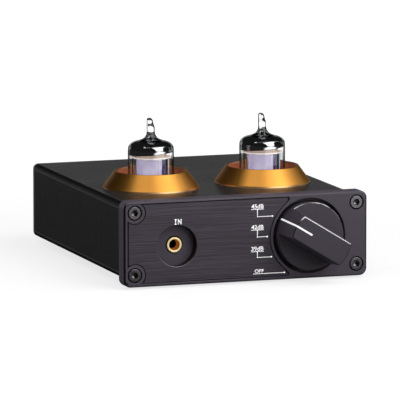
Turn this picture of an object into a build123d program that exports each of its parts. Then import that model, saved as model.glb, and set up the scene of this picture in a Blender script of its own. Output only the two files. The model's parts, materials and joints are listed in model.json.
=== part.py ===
from build123d import *
from math import cos, radians, sin
import os

# Valve phono preamplifier in an extruded case. Millimetres, +Z up.
# The origin is on the table, under the middle of the overall width and length.
# X runs across the front panel, Y runs from the knob to the sockets at the back.

os.makedirs("parts", exist_ok=True)

# ---------------------------------------------------------------- driving sizes
# Extruded case sleeve and its end plates
CASE_W = 100.0
CASE_H = 31.0
CASE_WALL = 1.6
CASE_EDGE_R = 2.2
CASE_BORE_R = 0.6
SLEEVE_L = 121.2
REAR_T = 2.0
PANEL_SIDE_LIP = 2.15
PANEL_TOP_LIP = 1.8
PANEL_DROP = 2.1
PANEL_T = 6.9
PANEL_CORNER_R = 3.0
PANEL_EDGE = 0.7

# Feet
FOOT_H = 3.0
FOOT_R = 5.0
FOOT_EDGE_R = 0.7
FOOT_INSET = 13.0

# M3 screws of the two end plates, and the screw channels of the sleeve
SCREW_INSET_X = 2.45
SCREW_INSET_Z = 2.8
SCREW_R = 1.5
SCREW_HOLE_R = 1.7
SCREW_GRIP = 6.0
SCREW_BOSS_R = 3.0
HEAD_R = 2.75
HEAD_H = 3.0
HEAD_EDGE = 0.25
HEAD_SUNK = 0.15
HEAD_BORE_R = 3.1
HEX_AF = 2.5
HEX_DEPTH = 1.8
REAR_HOLE_R = 1.6
BUTTON_R = 2.0
BUTTON_H = 1.0
BUTTON_EDGE = 0.35
BUTTON_HEX_AF = 1.5
BUTTON_HEX_DEPTH = 0.6

# Brushed inlay plate in the front panel
INLAY_T = 1.0
INLAY_SUNK = 0.1
INLAY_GAP = 0.25
INLAY_SIDE_MARGIN = 1.75
INLAY_TOP_MARGIN = 1.2
INLAY_BOTTOM_MARGIN = 1.6
INLAY_TO_RECESS = 1.35
INLAY_TIP_R = 0.9
SCREW_RELIEF_R = 4.6

# Circuit board and the slots that carry it
BOARD_T = 1.6
BOARD_OVER_CHANNEL = 0.6
BOARD_SIDE_GAP = 0.3
BOARD_END_GAP = 0.3
SLOT_PLAY = 0.2
RIB_OUT = 2.0
RIB_T = 1.2

# Gain knob, its recess and its rotary switch
KNOB_FROM_SIDE = 25.1
KNOB_ANGLE = 148.5
KNOB_RECESS_MARGIN = 1.8
KNOB_RECESS_DEPTH = 4.6
KNOB_SKIRT_GAP = 1.6
KNOB_BAR_LEAN = 1.2
KNOB_FLOOR_GAP = 0.6
KNOB_DISC_PROUD = 2.7
KNOB_PROUD = 15.4
KNOB_EDGE = 0.3
BAR_TOP_W = 10.0
BAR_FOOT_W = 12.0
KNOB_HOLLOW_R = 7.5
KNOB_HOLLOW_FACE = 2.2
POINTER_W = 1.0
POINTER_DEPTH = 0.3
POINTER_START_R = 4.8
POINTER_DOWN_SKIRT = 3.6
SHAFT_R = 3.0
SHAFT_PLAY = 0.05
SHAFT_FLAT = 1.5
SHAFT_FROM_TOP = 3.0
GRUB_R = 1.5
GRUB_L = 5.0
GRUB_FROM_TOP = 8.0
GRUB_HEX_AF = 1.5
GRUB_HEX_DEPTH = 1.5
SWITCH_W = 15.0
SWITCH_PLATE_T = 1.5
SWITCH_BODY_L = 8.0
SWITCH_WAFER_T = 1.6
SWITCH_BORE_R = 6.4
BUSHING_R = 3.5
BUSHING_L = 5.5
BUSHING_HOLE_R = 3.7
SWITCH_WASHER_R = 5.4
SWITCH_WASHER_T = 0.5
SWITCH_NUT_AF = 10.0
SWITCH_NUT_T = 2.0
ROTOR_R = 5.8
ROTOR_FRONT_GAP = 1.0
ROTOR_T = 3.0
PIVOT_R = 1.5
PIVOT_L = 1.4
WIPER_R = 0.7
WIPER_CIRCLE_R = 4.7
WIPER_GAP = 0.3
CONTACT_R = 0.8
CONTACT_T = 0.4
DETENT_STEP = 27.7
SWITCH_PIN_PITCH = 2.5
SWITCH_PIN_W = 0.8
SWITCH_PIN_T = 0.4
PIN_TAIL = 1.2

# Front 3.5 mm input jack in its dish
JACK_FROM_SIDE = 22.6
JACK_AXIS_H = 6.0
DISH_R = 8.4
DISH_DEPTH = 4.0
JACK_RING_R = 3.5
JACK_RING_PROUD = 1.1
JACK_RING_PLAY = 0.1
JACK_MOUTH = 0.5
JACK_BORE_R = 1.8
JACK_BODY_W = 12.0
JACK_BODY_L = 13.0
JACK_BACK_WALL = 2.0
JACK_SPRING_T = 0.4
JACK_SPRING_W = 1.6
JACK_SPRING_L = 9.0

# Valves, their sockets and their trim rings
TUBE_SPACING = 48.5
TUBE_FROM_FRONT = 49.6
SOCKET_H = 14.0
SOCKET_R = 9.2
SOCKET_T = 6.5
SOCKET_EYE_R = 1.6
PIN_CIRCLE_R = 4.76
PIN_COUNT = 7
PIN_STEP = 45.0
PIN_START = 112.5
PIN_R = 0.5
PIN_L = 7.0
PIN_INSIDE = 0.8
CONTACT_WALL = 0.42
CONTACT_PLAY = 0.08
CONTACT_SINK = 0.4
CONTACT_FLOOR = 0.5
CONTACT_UNDER = 1.0
LEG_R = 0.5
GLASS_R = 9.5
GLASS_T = 0.9
GLASS_BASE_T = 2.6
GLASS_BASE_ROUND = 1.4
GLASS_SIDE_H = 24.8
GLASS_SHOULDER_W = 1.8
GLASS_SHOULDER_H = 2.95
GLASS_NECK_T = 2.2
GLASS_H = 37.8
GLASS_TIP_R = 1.6
GLASS_TIP_L = 5.8
GLASS_TIP_END_R = 1.1
MICA_R = 8.3
MICA_T = 0.4
MICA_LOW = 5.0
MICA_HIGH = 21.8
ANODE_W = 10.0
ANODE_D = 7.0
ANODE_WALL = 0.4
ANODE_CORNER_R = 1.6
ROD_R = 0.5
ROD_OUT = 6.4
CATHODE_R = 0.8
GRID_ROD_R = 0.35
GRID_ROD_OUT = 2.2
GETTER_R = 2.6
GETTER_WIRE_R = 0.45
GETTER_POST_R = 0.35
GETTER_RISE = 2.6
RING_FOOT_R = 19.9
RING_TOP_R = 15.2
RING_H = 7.0
RING_FOOT_EDGE = 0.7
RING_LIP = 0.8
RING_FLOOR_T = 1.4
RING_CUP_R = 14.0
RING_BORE_R = 10.6
SPIGOT_R = 12.2
SPIGOT_PLAY = 0.1
SPIGOT_L = 5.4
RING_NUT_R = 15.4
RING_NUT_T = 3.0
RING_NUT_SLOTS = 4
RING_NUT_SLOT_W = 3.0
RING_NUT_SLOT_DEPTH = 1.2

# Phono sockets at the back
PHONO_PITCH = 14.0
PHONO_AXIS_H = 7.5
PHONO_R = 4.15
PHONO_WALL = 0.7
PHONO_FLANGE_R = 4.45
PHONO_PROUD = 9.0
PHONO_CONTACT_R = 1.6
PHONO_CONTACT_WALL = 0.5
PHONO_CORE_SINK = 0.4
PHONO_CONTACT_SINK = 0.8
PHONO_COLLAR_R = 5.3
PHONO_COLLAR_PROUD = 1.2
PHONO_HOLE_PLAY = 0.1
PHONO_BLOCK_SIDE = 6.2
PHONO_BLOCK_H = 14.0
PHONO_BLOCK_L = 11.0

# Power inlet at the back
INLET_FROM_SIDE = 13.0
INLET_AXIS_H = 6.5
INLET_NOSE_R = 4.4
INLET_NOSE_PROUD = 0.5
INLET_NOSE_PLAY = 0.1
INLET_BORE_R = 3.1
INLET_BORE_L = 9.5
INLET_PIN_R = 1.0
INLET_PIN_SINK = 0.8
INLET_BODY_W = 9.0
INLET_BODY_H = 11.0
INLET_BODY_L = 13.5
INLET_SPRING_T = 0.4
INLET_SPRING_W = 2.4
INLET_SPRING_L = 7.0

# Earth terminal at the back
EARTH_FROM_SIDE = 12.5
STUD_R = 2.0
STUD_INSIDE = 5.0
STUD_PROUD = 12.0
STUD_EDGE = 0.4
STUD_NUT_AF = 7.0
STUD_NUT_T = 2.4
EARTH_WASHER_R = 4.5
EARTH_WASHER_T = 1.0
EARTH_WASHER_PLAY = 0.2
THUMB_R = 5.4
THUMB_L = 5.5
THUMB_PLAY = 0.05
THUMB_EDGE = 0.4
THUMB_FLUTES = 24
THUMB_FLUTE_R = 0.35
STRAP_W = 7.0
STRAP_T = 0.6
STRAP_FOOT = 6.0

# Parts that stand on the board, in rows from the valve sockets to the sockets at the back
ROW_COUNT = 5
FRONT_ROW_GAP = 6.5
BACK_ROW_GAP = 15.1
ELECTROLYTIC_RIB_GAP = 0.9
ELECTROLYTIC_R = 5.0
ELECTROLYTIC_H = 16.0
ELECTROLYTIC_EDGE_R = 0.6
FILM_OUT = 24.0
FILM_W = 13.0
FILM_D = 6.0
FILM_H = 11.0
FILM_EDGE_R = 0.6
CHIP_OUT = 9.0
CHIP_W = 5.0
CHIP_D = 4.0
CHIP_H = 1.5
CHOKE_X = 13.0
CHOKE_R = 5.0
CHOKE_H = 6.0
CHOKE_EYE_R = 1.8
RESISTOR_PITCH = 8.0
RESISTOR_ROW_OUT = 9.0
RESISTOR_W = 3.2
RESISTOR_D = 1.6
RESISTOR_H = 0.6
REGULATOR_X = 28.0
REGULATOR_W = 10.0
REGULATOR_H = 15.0
REGULATOR_T = 4.4
SINK_W = 16.0
SINK_H = 18.0
SINK_BASE_T = 2.0
SINK_FIN_T = 1.0
SINK_FIN_L = 5.0
SINK_FINS = 5

# ------------------------------------------------------------- places worked out
PANEL_W = CASE_W + 2 * PANEL_SIDE_LIP
PANEL_H = CASE_H + PANEL_TOP_LIP + PANEL_DROP
OVERALL_L = KNOB_PROUD + PANEL_T + SLEEVE_L + REAR_T + STUD_PROUD
PANEL_FRONT = KNOB_PROUD - OVERALL_L / 2
PANEL_BACK = PANEL_FRONT + PANEL_T
REAR_FRONT = PANEL_BACK + SLEEVE_L
REAR_BACK = REAR_FRONT + REAR_T
CASE_BOTTOM = FOOT_H
CASE_TOP = CASE_BOTTOM + CASE_H
CASE_MID = CASE_BOTTOM + CASE_H / 2
PANEL_BOTTOM = CASE_BOTTOM - PANEL_DROP
PANEL_TOP = PANEL_BOTTOM + PANEL_H
CEILING = CASE_TOP - CASE_WALL
SCREW_X = CASE_W / 2 - SCREW_INSET_X
SCREW_ZS = (CASE_BOTTOM + SCREW_INSET_Z, CASE_TOP - SCREW_INSET_Z)
SCREW_PLACES = tuple((x, z) for x in (-SCREW_X, SCREW_X) for z in SCREW_ZS)
BOARD_BOTTOM = SCREW_ZS[0] + SCREW_BOSS_R + BOARD_OVER_CHANNEL
BOARD_TOP = BOARD_BOTTOM + BOARD_T
BOARD_W = CASE_W - 2 * (CASE_WALL + BOARD_SIDE_GAP)
BOARD_L = SLEEVE_L - 2 * BOARD_END_GAP
KNOB_X = PANEL_W / 2 - KNOB_FROM_SIDE
KNOB_Z = BOARD_TOP + SWITCH_W / 2
KNOB_RECESS_R = min(PANEL_TOP - KNOB_Z, KNOB_Z - PANEL_BOTTOM) - KNOB_RECESS_MARGIN
KNOB_SKIRT_R = KNOB_RECESS_R - KNOB_SKIRT_GAP
KNOB_TOP_R = KNOB_SKIRT_R - KNOB_BAR_LEAN
RECESS_FLOOR = PANEL_FRONT + KNOB_RECESS_DEPTH
JACK_X = JACK_FROM_SIDE - PANEL_W / 2
JACK_Z = BOARD_TOP + JACK_AXIS_H
TUBE_Y = PANEL_FRONT + TUBE_FROM_FRONT
SEAT_Z = BOARD_TOP + SOCKET_H
PHONO_Z = BOARD_TOP + PHONO_AXIS_H
PHONO_XS = tuple(PHONO_PITCH * step for step in (-1.5, -0.5, 0.5, 1.5))
INLET_X = CASE_W / 2 - INLET_FROM_SIDE
INLET_Z = BOARD_TOP + INLET_AXIS_H
EARTH_X = EARTH_FROM_SIDE - CASE_W / 2
TUBES = {"left": -TUBE_SPACING / 2, "right": TUBE_SPACING / 2}
PIN_ANGLES = tuple(PIN_START + PIN_STEP * number for number in range(PIN_COUNT))
FRONT_ROW = TUBE_Y + SOCKET_R + FRONT_ROW_GAP
BACK_ROW = REAR_FRONT - PHONO_BLOCK_L - BACK_ROW_GAP
ROW_STEP = (BACK_ROW - FRONT_ROW) / (ROW_COUNT - 1)
ROW_YS = tuple(FRONT_ROW + ROW_STEP * row for row in range(ROW_COUNT))


def facing(y, x=0.0, z=0.0):
    """A plane across the object at depth y, seen from the front: local X is X, local Y is Z."""
    return Plane(origin=(x, y, z), x_dir=(1, 0, 0), z_dir=(0, -1, 0))


def level(z, x=0.0, y=0.0):
    """A horizontal plane at height z: local X is X, local Y is Y."""
    return Plane(origin=(x, y, z), x_dir=(1, 0, 0), z_dir=(0, 0, 1))


def upright_axis(x, y):
    """The vertical axis through a place on the table."""
    return Axis((x, y, 0), (0, 0, 1))


def depth_axis(x, z):
    """The axis from front to back at a place on the front panel."""
    return Axis((x, 0, z), (0, 1, 0))


def save(builder, name):
    """Label a finished piece and write it under its node name."""
    builder.part.label = name
    export_step(builder.part, f"parts/{name}.step")


def turned_on_depth(x, z, rings):
    """Turn a closed outline of (radius, y) points about the front-to-back axis at x, z."""
    with BuildSketch(level(z, x)) as profile:
        with BuildLine():
            Polyline(*rings, close=True)
        make_face()
    revolve(profile.sketch, axis=depth_axis(x, z))


def turned_upright(x, y, rings):
    """Turn a closed outline of (radius, z) points about the vertical axis at x, y."""
    with BuildSketch(facing(y, x)) as profile:
        with BuildLine():
            Polyline(*rings, close=True)
        make_face()
    revolve(profile.sketch, axis=upright_axis(x, y))


# ------------------------------------------------------------------ case sleeve
# One extrusion: a thin tube with a screw channel in each corner and a board slot each side.
with BuildPart() as case_sleeve:
    with BuildSketch(facing(PANEL_BACK, 0, CASE_MID)):
        RectangleRounded(CASE_W, CASE_H, CASE_EDGE_R)
    extrude(amount=-SLEEVE_L)
    with BuildSketch(facing(PANEL_BACK)):
        with Locations((0, CASE_MID)):
            RectangleRounded(CASE_W - 2 * CASE_WALL, CASE_H - 2 * CASE_WALL, CASE_BORE_R)
        with Locations(*SCREW_PLACES):
            Circle(SCREW_BOSS_R, mode=Mode.SUBTRACT)
        for side in (-1, 1):
            rib_x = side * (CASE_W / 2 - CASE_WALL)
            rib_zs = (BOARD_BOTTOM - RIB_T / 2, BOARD_TOP + SLOT_PLAY + RIB_T / 2)
            with Locations(*[(rib_x, rib_z) for rib_z in rib_zs]):
                Rectangle(2 * RIB_OUT, RIB_T, mode=Mode.SUBTRACT)
    extrude(amount=-SLEEVE_L, mode=Mode.SUBTRACT)
    with BuildSketch(facing(PANEL_BACK)):
        with Locations(*SCREW_PLACES):
            Circle(SCREW_R)
    extrude(amount=-SLEEVE_L, mode=Mode.SUBTRACT)
    with BuildSketch(level(CASE_TOP)):
        with Locations(*[(x, TUBE_Y) for x in TUBES.values()]):
            Circle(SPIGOT_R + SPIGOT_PLAY)
    extrude(amount=-CASE_WALL, mode=Mode.SUBTRACT)
save(case_sleeve, "case_sleeve")


# -------------------------------------------------------------- brushed inlay plate
def inlay_outline(grow):
    """The inlay's outline, all edges moved outwards by grow. The right end curves round the knob."""
    left = -PANEL_W / 2 + INLAY_SIDE_MARGIN - grow
    bottom = PANEL_BOTTOM + INLAY_BOTTOM_MARGIN - grow
    top = PANEL_TOP - INLAY_TOP_MARGIN + grow
    arc_r = KNOB_RECESS_R + INLAY_TO_RECESS - grow
    flank = arc_r * cos(radians(45))
    flank_x = KNOB_X - flank
    rise = top - (KNOB_Z + flank)
    fall = (KNOB_Z - flank) - bottom
    with BuildLine() as edges:
        Polyline(
            (left, bottom),
            (flank_x + fall, bottom),
            (flank_x, KNOB_Z - flank),
            (flank_x, KNOB_Z + flank),
            (flank_x + rise, top),
            (left, top),
            close=True,
        )
    make_face(edges.line)
    with Locations((KNOB_X, KNOB_Z)):
        Circle(arc_r, mode=Mode.SUBTRACT)
    with Locations(*[(-SCREW_X, z) for z in SCREW_ZS]):
        Circle(SCREW_RELIEF_R - grow, mode=Mode.SUBTRACT)


with BuildPart() as front_inlay:
    with BuildSketch(facing(PANEL_FRONT + INLAY_SUNK)) as inlay_face:
        inlay_outline(0)
        fillet(inlay_face.vertices().sort_by(Axis.X)[-2:], INLAY_TIP_R)
        with Locations((JACK_X, JACK_Z)):
            Circle(DISH_R, mode=Mode.SUBTRACT)
    extrude(amount=-INLAY_T)
save(front_inlay, "front_inlay")

# ------------------------------------------------------------------- front panel
with BuildPart() as front_panel:
    with BuildSketch(facing(PANEL_FRONT, 0, PANEL_BOTTOM + PANEL_H / 2)):
        RectangleRounded(PANEL_W, PANEL_H, PANEL_CORNER_R)
    extrude(amount=-PANEL_T)
    chamfer(front_panel.faces().sort_by(Axis.Y)[0].edges(), PANEL_EDGE)
    with BuildSketch(facing(PANEL_FRONT)) as pocket_face:
        inlay_outline(INLAY_GAP)
        fillet(pocket_face.vertices().sort_by(Axis.X)[-2:], INLAY_TIP_R)
    extrude(amount=-(INLAY_SUNK + INLAY_T), mode=Mode.SUBTRACT)
    with Locations(facing(PANEL_FRONT, KNOB_X, KNOB_Z)):
        CounterBoreHole(BUSHING_HOLE_R, KNOB_RECESS_R, KNOB_RECESS_DEPTH, depth=PANEL_T)
    with Locations(facing(PANEL_FRONT, JACK_X, JACK_Z)):
        CounterBoreHole(JACK_RING_R + JACK_RING_PLAY, DISH_R, DISH_DEPTH, depth=PANEL_T)
    for x, z in SCREW_PLACES:
        with Locations(facing(PANEL_FRONT, x, z)):
            CounterBoreHole(SCREW_HOLE_R, HEAD_BORE_R, HEAD_H + HEAD_SUNK, depth=PANEL_T)
save(front_panel, "front_panel")

# ------------------------------------------------------------- front panel screws
HEAD_FRONT = PANEL_FRONT + HEAD_SUNK
HEAD_BACK = HEAD_FRONT + HEAD_H
with BuildPart() as front_screws:
    for x, z in SCREW_PLACES:
        turned_on_depth(x, z, (
            (0, HEAD_FRONT),
            (HEAD_R - HEAD_EDGE, HEAD_FRONT),
            (HEAD_R, HEAD_FRONT + HEAD_EDGE),
            (HEAD_R, HEAD_BACK),
            (SCREW_R, HEAD_BACK),
            (SCREW_R, PANEL_BACK + SCREW_GRIP),
            (0, PANEL_BACK + SCREW_GRIP),
        ))
    with BuildSketch(facing(HEAD_FRONT)):
        with Locations(*SCREW_PLACES):
            RegularPolygon(HEX_AF / 2, 6, major_radius=False)
    extrude(amount=-HEX_DEPTH, mode=Mode.SUBTRACT)
save(front_screws, "front_screws")

# --------------------------------------------------------------------- rear panel
with BuildPart() as rear_panel:
    with BuildSketch(facing(REAR_FRONT, 0, CASE_MID)):
        RectangleRounded(CASE_W, CASE_H, CASE_EDGE_R)
    extrude(amount=-REAR_T)
    with BuildSketch(facing(REAR_FRONT)):
        with Locations(*SCREW_PLACES):
            Circle(REAR_HOLE_R)
        with Locations(*[(x, PHONO_Z) for x in PHONO_XS]):
            Circle(PHONO_COLLAR_R + PHONO_HOLE_PLAY)
        with Locations((INLET_X, INLET_Z)):
            Circle(INLET_NOSE_R + INLET_NOSE_PLAY)
        with Locations((EARTH_X, PHONO_Z)):
            Circle(STUD_R)
    extrude(amount=-REAR_T, mode=Mode.SUBTRACT)
save(rear_panel, "rear_panel")

# -------------------------------------------------------------- rear panel screws
BUTTON_TOP = REAR_BACK + BUTTON_H
with BuildPart() as rear_screws:
    for x, z in SCREW_PLACES:
        turned_on_depth(x, z, (
            (0, REAR_FRONT - SCREW_GRIP),
            (SCREW_R, REAR_FRONT - SCREW_GRIP),
            (SCREW_R, REAR_BACK),
            (BUTTON_R, REAR_BACK),
            (BUTTON_R, BUTTON_TOP - BUTTON_EDGE),
            (BUTTON_R - BUTTON_EDGE, BUTTON_TOP),
            (0, BUTTON_TOP),
        ))
    with BuildSketch(facing(BUTTON_TOP)):
        with Locations(*SCREW_PLACES):
            RegularPolygon(BUTTON_HEX_AF / 2, 6, major_radius=False)
    extrude(amount=BUTTON_HEX_DEPTH, mode=Mode.SUBTRACT)
save(rear_screws, "rear_screws")

# --------------------------------------------------------------------- rubber feet
FOOT_X = CASE_W / 2 - FOOT_INSET
FOOT_YS = (PANEL_BACK + FOOT_INSET, REAR_BACK - FOOT_INSET)
with BuildPart() as rubber_feet:
    with BuildSketch(level(0)):
        with Locations(*[(x, y) for x in (-FOOT_X, FOOT_X) for y in FOOT_YS]):
            Circle(FOOT_R)
    extrude(amount=FOOT_H)
    fillet(rubber_feet.edges().group_by(Axis.Z)[0], FOOT_EDGE_R)
save(rubber_feet, "rubber_feet")

# ------------------------------------------------------------- trim rings and nuts
SPIGOT_END = CASE_TOP - SPIGOT_L
for hand, tube_x in TUBES.items():
    with BuildPart() as tube_ring:
        turned_upright(tube_x, TUBE_Y, (
            (RING_BORE_R, SPIGOT_END),
            (SPIGOT_R, SPIGOT_END),
            (SPIGOT_R, CASE_TOP),
            (RING_FOOT_R, CASE_TOP),
            (RING_FOOT_R, CASE_TOP + RING_FOOT_EDGE),
            (RING_TOP_R, CASE_TOP + RING_H),
            (RING_TOP_R - RING_LIP, CASE_TOP + RING_H),
            (RING_CUP_R, CASE_TOP + RING_FLOOR_T),
            (RING_BORE_R, CASE_TOP + RING_FLOOR_T),
        ))
    save(tube_ring, f"tube_ring_{hand}")

with BuildPart() as ring_nuts:
    for tube_x in TUBES.values():
        with BuildSketch(level(CEILING - RING_NUT_T, tube_x, TUBE_Y)):
            Circle(RING_NUT_R)
            Circle(SPIGOT_R, mode=Mode.SUBTRACT)
            with PolarLocations(RING_NUT_R, RING_NUT_SLOTS):
                Rectangle(2 * RING_NUT_SLOT_DEPTH, RING_NUT_SLOT_W, mode=Mode.SUBTRACT)
        extrude(amount=RING_NUT_T)
save(ring_nuts, "ring_nuts")

# -------------------------------------------------------------------- tube sockets
SOCKET_BOTTOM = SEAT_Z - SOCKET_T
CONTACT_TOP = SEAT_Z - CONTACT_SINK
CONTACT_BOTTOM = SOCKET_BOTTOM - CONTACT_UNDER
CONTACT_BORE_R = PIN_R + CONTACT_PLAY
CONTACT_OUTER_R = CONTACT_BORE_R + CONTACT_WALL
LEG_BOTTOM = BOARD_BOTTOM - PIN_TAIL
PIN_PLACES = tuple(
    (PIN_CIRCLE_R * cos(radians(angle)), PIN_CIRCLE_R * sin(radians(angle))) for angle in PIN_ANGLES
)
with BuildPart() as tube_sockets:
    for tube_x in TUBES.values():
        with BuildSketch(level(SOCKET_BOTTOM, tube_x, TUBE_Y)):
            Circle(SOCKET_R)
            Circle(SOCKET_EYE_R, mode=Mode.SUBTRACT)
            with Locations(*PIN_PLACES):
                Circle(CONTACT_OUTER_R, mode=Mode.SUBTRACT)
        extrude(amount=SOCKET_T)
save(tube_sockets, "tube_sockets")

with BuildPart() as socket_contacts:
    for tube_x in TUBES.values():
        with BuildSketch(level(LEG_BOTTOM, tube_x, TUBE_Y)):
            with Locations(*PIN_PLACES):
                Circle(LEG_R)
        extrude(amount=CONTACT_BOTTOM - LEG_BOTTOM)
        with BuildSketch(level(CONTACT_BOTTOM, tube_x, TUBE_Y)):
            with Locations(*PIN_PLACES):
                Circle(CONTACT_OUTER_R)
        extrude(amount=CONTACT_TOP - CONTACT_BOTTOM)
        with BuildSketch(level(CONTACT_BOTTOM + CONTACT_FLOOR, tube_x, TUBE_Y)):
            with Locations(*PIN_PLACES):
                Circle(CONTACT_BORE_R)
        extrude(amount=CONTACT_TOP - CONTACT_BOTTOM - CONTACT_FLOOR, mode=Mode.SUBTRACT)
save(socket_contacts, "socket_contacts")

# -------------------------------------------------------------------------- valves
GLASS_FLOOR = SEAT_Z + GLASS_BASE_T
SHOULDER_Z = SEAT_Z + GLASS_SIDE_H
GLASS_TOP = SEAT_Z + GLASS_H
TIP_FOOT = GLASS_TOP - GLASS_TIP_L
INNER_R = GLASS_R - GLASS_T
MICA_ZS = (SEAT_Z + MICA_LOW, SEAT_Z + MICA_HIGH)
ROD_PLACES = ((-ROD_OUT, 0), (ROD_OUT, 0))
GETTER_Z = MICA_ZS[1] + MICA_T + GETTER_RISE
CAGE_BOTTOM = MICA_ZS[0] + MICA_T
CAGE_H = MICA_ZS[1] - CAGE_BOTTOM
for hand, tube_x in TUBES.items():
    with BuildPart() as tube_glass:
        with BuildSketch(facing(TUBE_Y, tube_x)):
            with BuildLine():
                foot = Line((0, SEAT_Z), (GLASS_R - GLASS_BASE_ROUND, SEAT_Z))
                heel = TangentArc(foot @ 1, (GLASS_R, SEAT_Z + GLASS_BASE_ROUND), tangent=(1, 0))
                side = Line(heel @ 1, (GLASS_R, SHOULDER_Z))
                shoulder = TangentArc(
                    side @ 1,
                    (GLASS_R - GLASS_SHOULDER_W, SHOULDER_Z + GLASS_SHOULDER_H),
                    tangent=(0, 1),
                )
                dome = Spline(
                    shoulder @ 1,
                    (GLASS_TIP_R, TIP_FOOT),
                    tangents=(shoulder % 1, (-0.1, 1)),
                )
                tip = Line(dome @ 1, (GLASS_TIP_END_R, GLASS_TOP - GLASS_TIP_END_R))
                cap = ThreePointArc(
                    tip @ 1,
                    (GLASS_TIP_END_R * cos(radians(45)), GLASS_TOP - GLASS_TIP_END_R * (1 - sin(radians(45)))),
                    (0, GLASS_TOP),
                )
                Line(cap @ 1, foot @ 0)
            make_face()
        revolve(axis=upright_axis(tube_x, TUBE_Y))
        with BuildSketch(facing(TUBE_Y, tube_x)):
            with BuildLine():
                floor = Line((0, GLASS_FLOOR), (INNER_R, GLASS_FLOOR))
                wall = Line(floor @ 1, (INNER_R, SHOULDER_Z))
                haunch = TangentArc(
                    wall @ 1,
                    (INNER_R - GLASS_SHOULDER_W, SHOULDER_Z + GLASS_SHOULDER_H - GLASS_T / 2),
                    tangent=(0, 1),
                )
                vault = Line(haunch @ 1, (0, TIP_FOOT - GLASS_NECK_T))
                Line(vault @ 1, floor @ 0)
            make_face()
        revolve(axis=upright_axis(tube_x, TUBE_Y), mode=Mode.SUBTRACT)
        with BuildSketch(level(SEAT_Z, tube_x, TUBE_Y)):
            with Locations(*PIN_PLACES):
                Circle(PIN_R)
        extrude(amount=GLASS_BASE_T, mode=Mode.SUBTRACT)
    save(tube_glass, f"tube_glass_{hand}")

    with BuildPart() as tube_pins:
        with BuildSketch(level(SEAT_Z - PIN_L, tube_x, TUBE_Y)):
            with Locations(*PIN_PLACES):
                Circle(PIN_R)
        extrude(amount=PIN_L + GLASS_BASE_T + PIN_INSIDE)
    save(tube_pins, f"tube_pins_{hand}")

    with BuildPart() as tube_micas:
        for mica_z in MICA_ZS:
            with BuildSketch(level(mica_z, tube_x, TUBE_Y)):
                Circle(MICA_R)
                with Locations(*ROD_PLACES):
                    Circle(ROD_R, mode=Mode.SUBTRACT)
            extrude(amount=MICA_T)
    save(tube_micas, f"tube_micas_{hand}")

    with BuildPart() as tube_anode:
        with BuildSketch(level(CAGE_BOTTOM, tube_x, TUBE_Y)):
            RectangleRounded(ANODE_W, ANODE_D, ANODE_CORNER_R)
            RectangleRounded(
                ANODE_W - 2 * ANODE_WALL, ANODE_D - 2 * ANODE_WALL, ANODE_CORNER_R - ANODE_WALL,
                mode=Mode.SUBTRACT,
            )
        extrude(amount=CAGE_H)
    save(tube_anode, f"tube_anode_{hand}")

    with BuildPart() as tube_electrodes:
        with BuildSketch(level(GLASS_FLOOR, tube_x, TUBE_Y)):
            with Locations(*ROD_PLACES):
                Circle(ROD_R)
        extrude(amount=MICA_ZS[1] + 2 * MICA_T - GLASS_FLOOR)
        with BuildSketch(level(CAGE_BOTTOM, tube_x, TUBE_Y)):
            Circle(CATHODE_R)
            with Locations((-GRID_ROD_OUT, 0), (GRID_ROD_OUT, 0)):
                Circle(GRID_ROD_R)
        extrude(amount=CAGE_H)
    save(tube_electrodes, f"tube_electrodes_{hand}")

    with BuildPart() as tube_getter:
        with BuildSketch(facing(TUBE_Y, tube_x)):
            with Locations((GETTER_R, GETTER_Z)):
                Circle(GETTER_WIRE_R)
        revolve(axis=upright_axis(tube_x, TUBE_Y))
        with BuildSketch(level(MICA_ZS[1] + MICA_T, tube_x, TUBE_Y)):
            with Locations((0, GETTER_R)):
                Circle(GETTER_POST_R)
        extrude(amount=GETTER_RISE)
    save(tube_getter, f"tube_getter_{hand}")

# ------------------------------------------------------------------ rotary switch
PLATE_BACK = PANEL_BACK + SWITCH_PLATE_T
WAFER_FRONT = PLATE_BACK + SWITCH_BODY_L
WAFER_BACK = WAFER_FRONT + SWITCH_WAFER_T
ROTOR_FRONT = PLATE_BACK + ROTOR_FRONT_GAP
ROTOR_BACK = ROTOR_FRONT + ROTOR_T
BUSHING_END = PANEL_BACK - BUSHING_L
SHAFT_END = PANEL_FRONT - KNOB_PROUD + SHAFT_FROM_TOP
CONTACT_FRONT = WAFER_FRONT - CONTACT_T
KNOB_ORIGIN = (KNOB_X, PANEL_FRONT, KNOB_Z)
POINTS_TO = (cos(radians(KNOB_ANGLE)), 0, sin(radians(KNOB_ANGLE)))
BESIDE_BAR = (sin(radians(KNOB_ANGLE)), 0, -cos(radians(KNOB_ANGLE)))
KNOB_FACE = Plane(origin=KNOB_ORIGIN, x_dir=POINTS_TO, z_dir=(0, -1, 0))
KNOB_SIDE = Plane(origin=KNOB_ORIGIN, x_dir=POINTS_TO, z_dir=BESIDE_BAR)
KNOB_AXIS = depth_axis(KNOB_X, KNOB_Z)

with BuildPart() as switch_bushing:
    with BuildSketch(facing(PANEL_BACK, KNOB_X, KNOB_Z)):
        Rectangle(SWITCH_W, SWITCH_W)
    extrude(amount=-SWITCH_PLATE_T)
    with BuildSketch(facing(PANEL_BACK, KNOB_X, KNOB_Z)):
        Circle(BUSHING_R)
    extrude(amount=BUSHING_L)
    with BuildSketch(facing(BUSHING_END, KNOB_X, KNOB_Z)):
        Circle(SHAFT_R + SHAFT_PLAY)
    extrude(amount=-(BUSHING_L + SWITCH_PLATE_T), mode=Mode.SUBTRACT)
save(switch_bushing, "switch_bushing")

with BuildPart() as switch_housing:
    with BuildSketch(facing(PLATE_BACK, KNOB_X, KNOB_Z)):
        Rectangle(SWITCH_W, SWITCH_W)
        Circle(SWITCH_BORE_R, mode=Mode.SUBTRACT)
    extrude(amount=-SWITCH_BODY_L)
save(switch_housing, "switch_housing")

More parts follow.
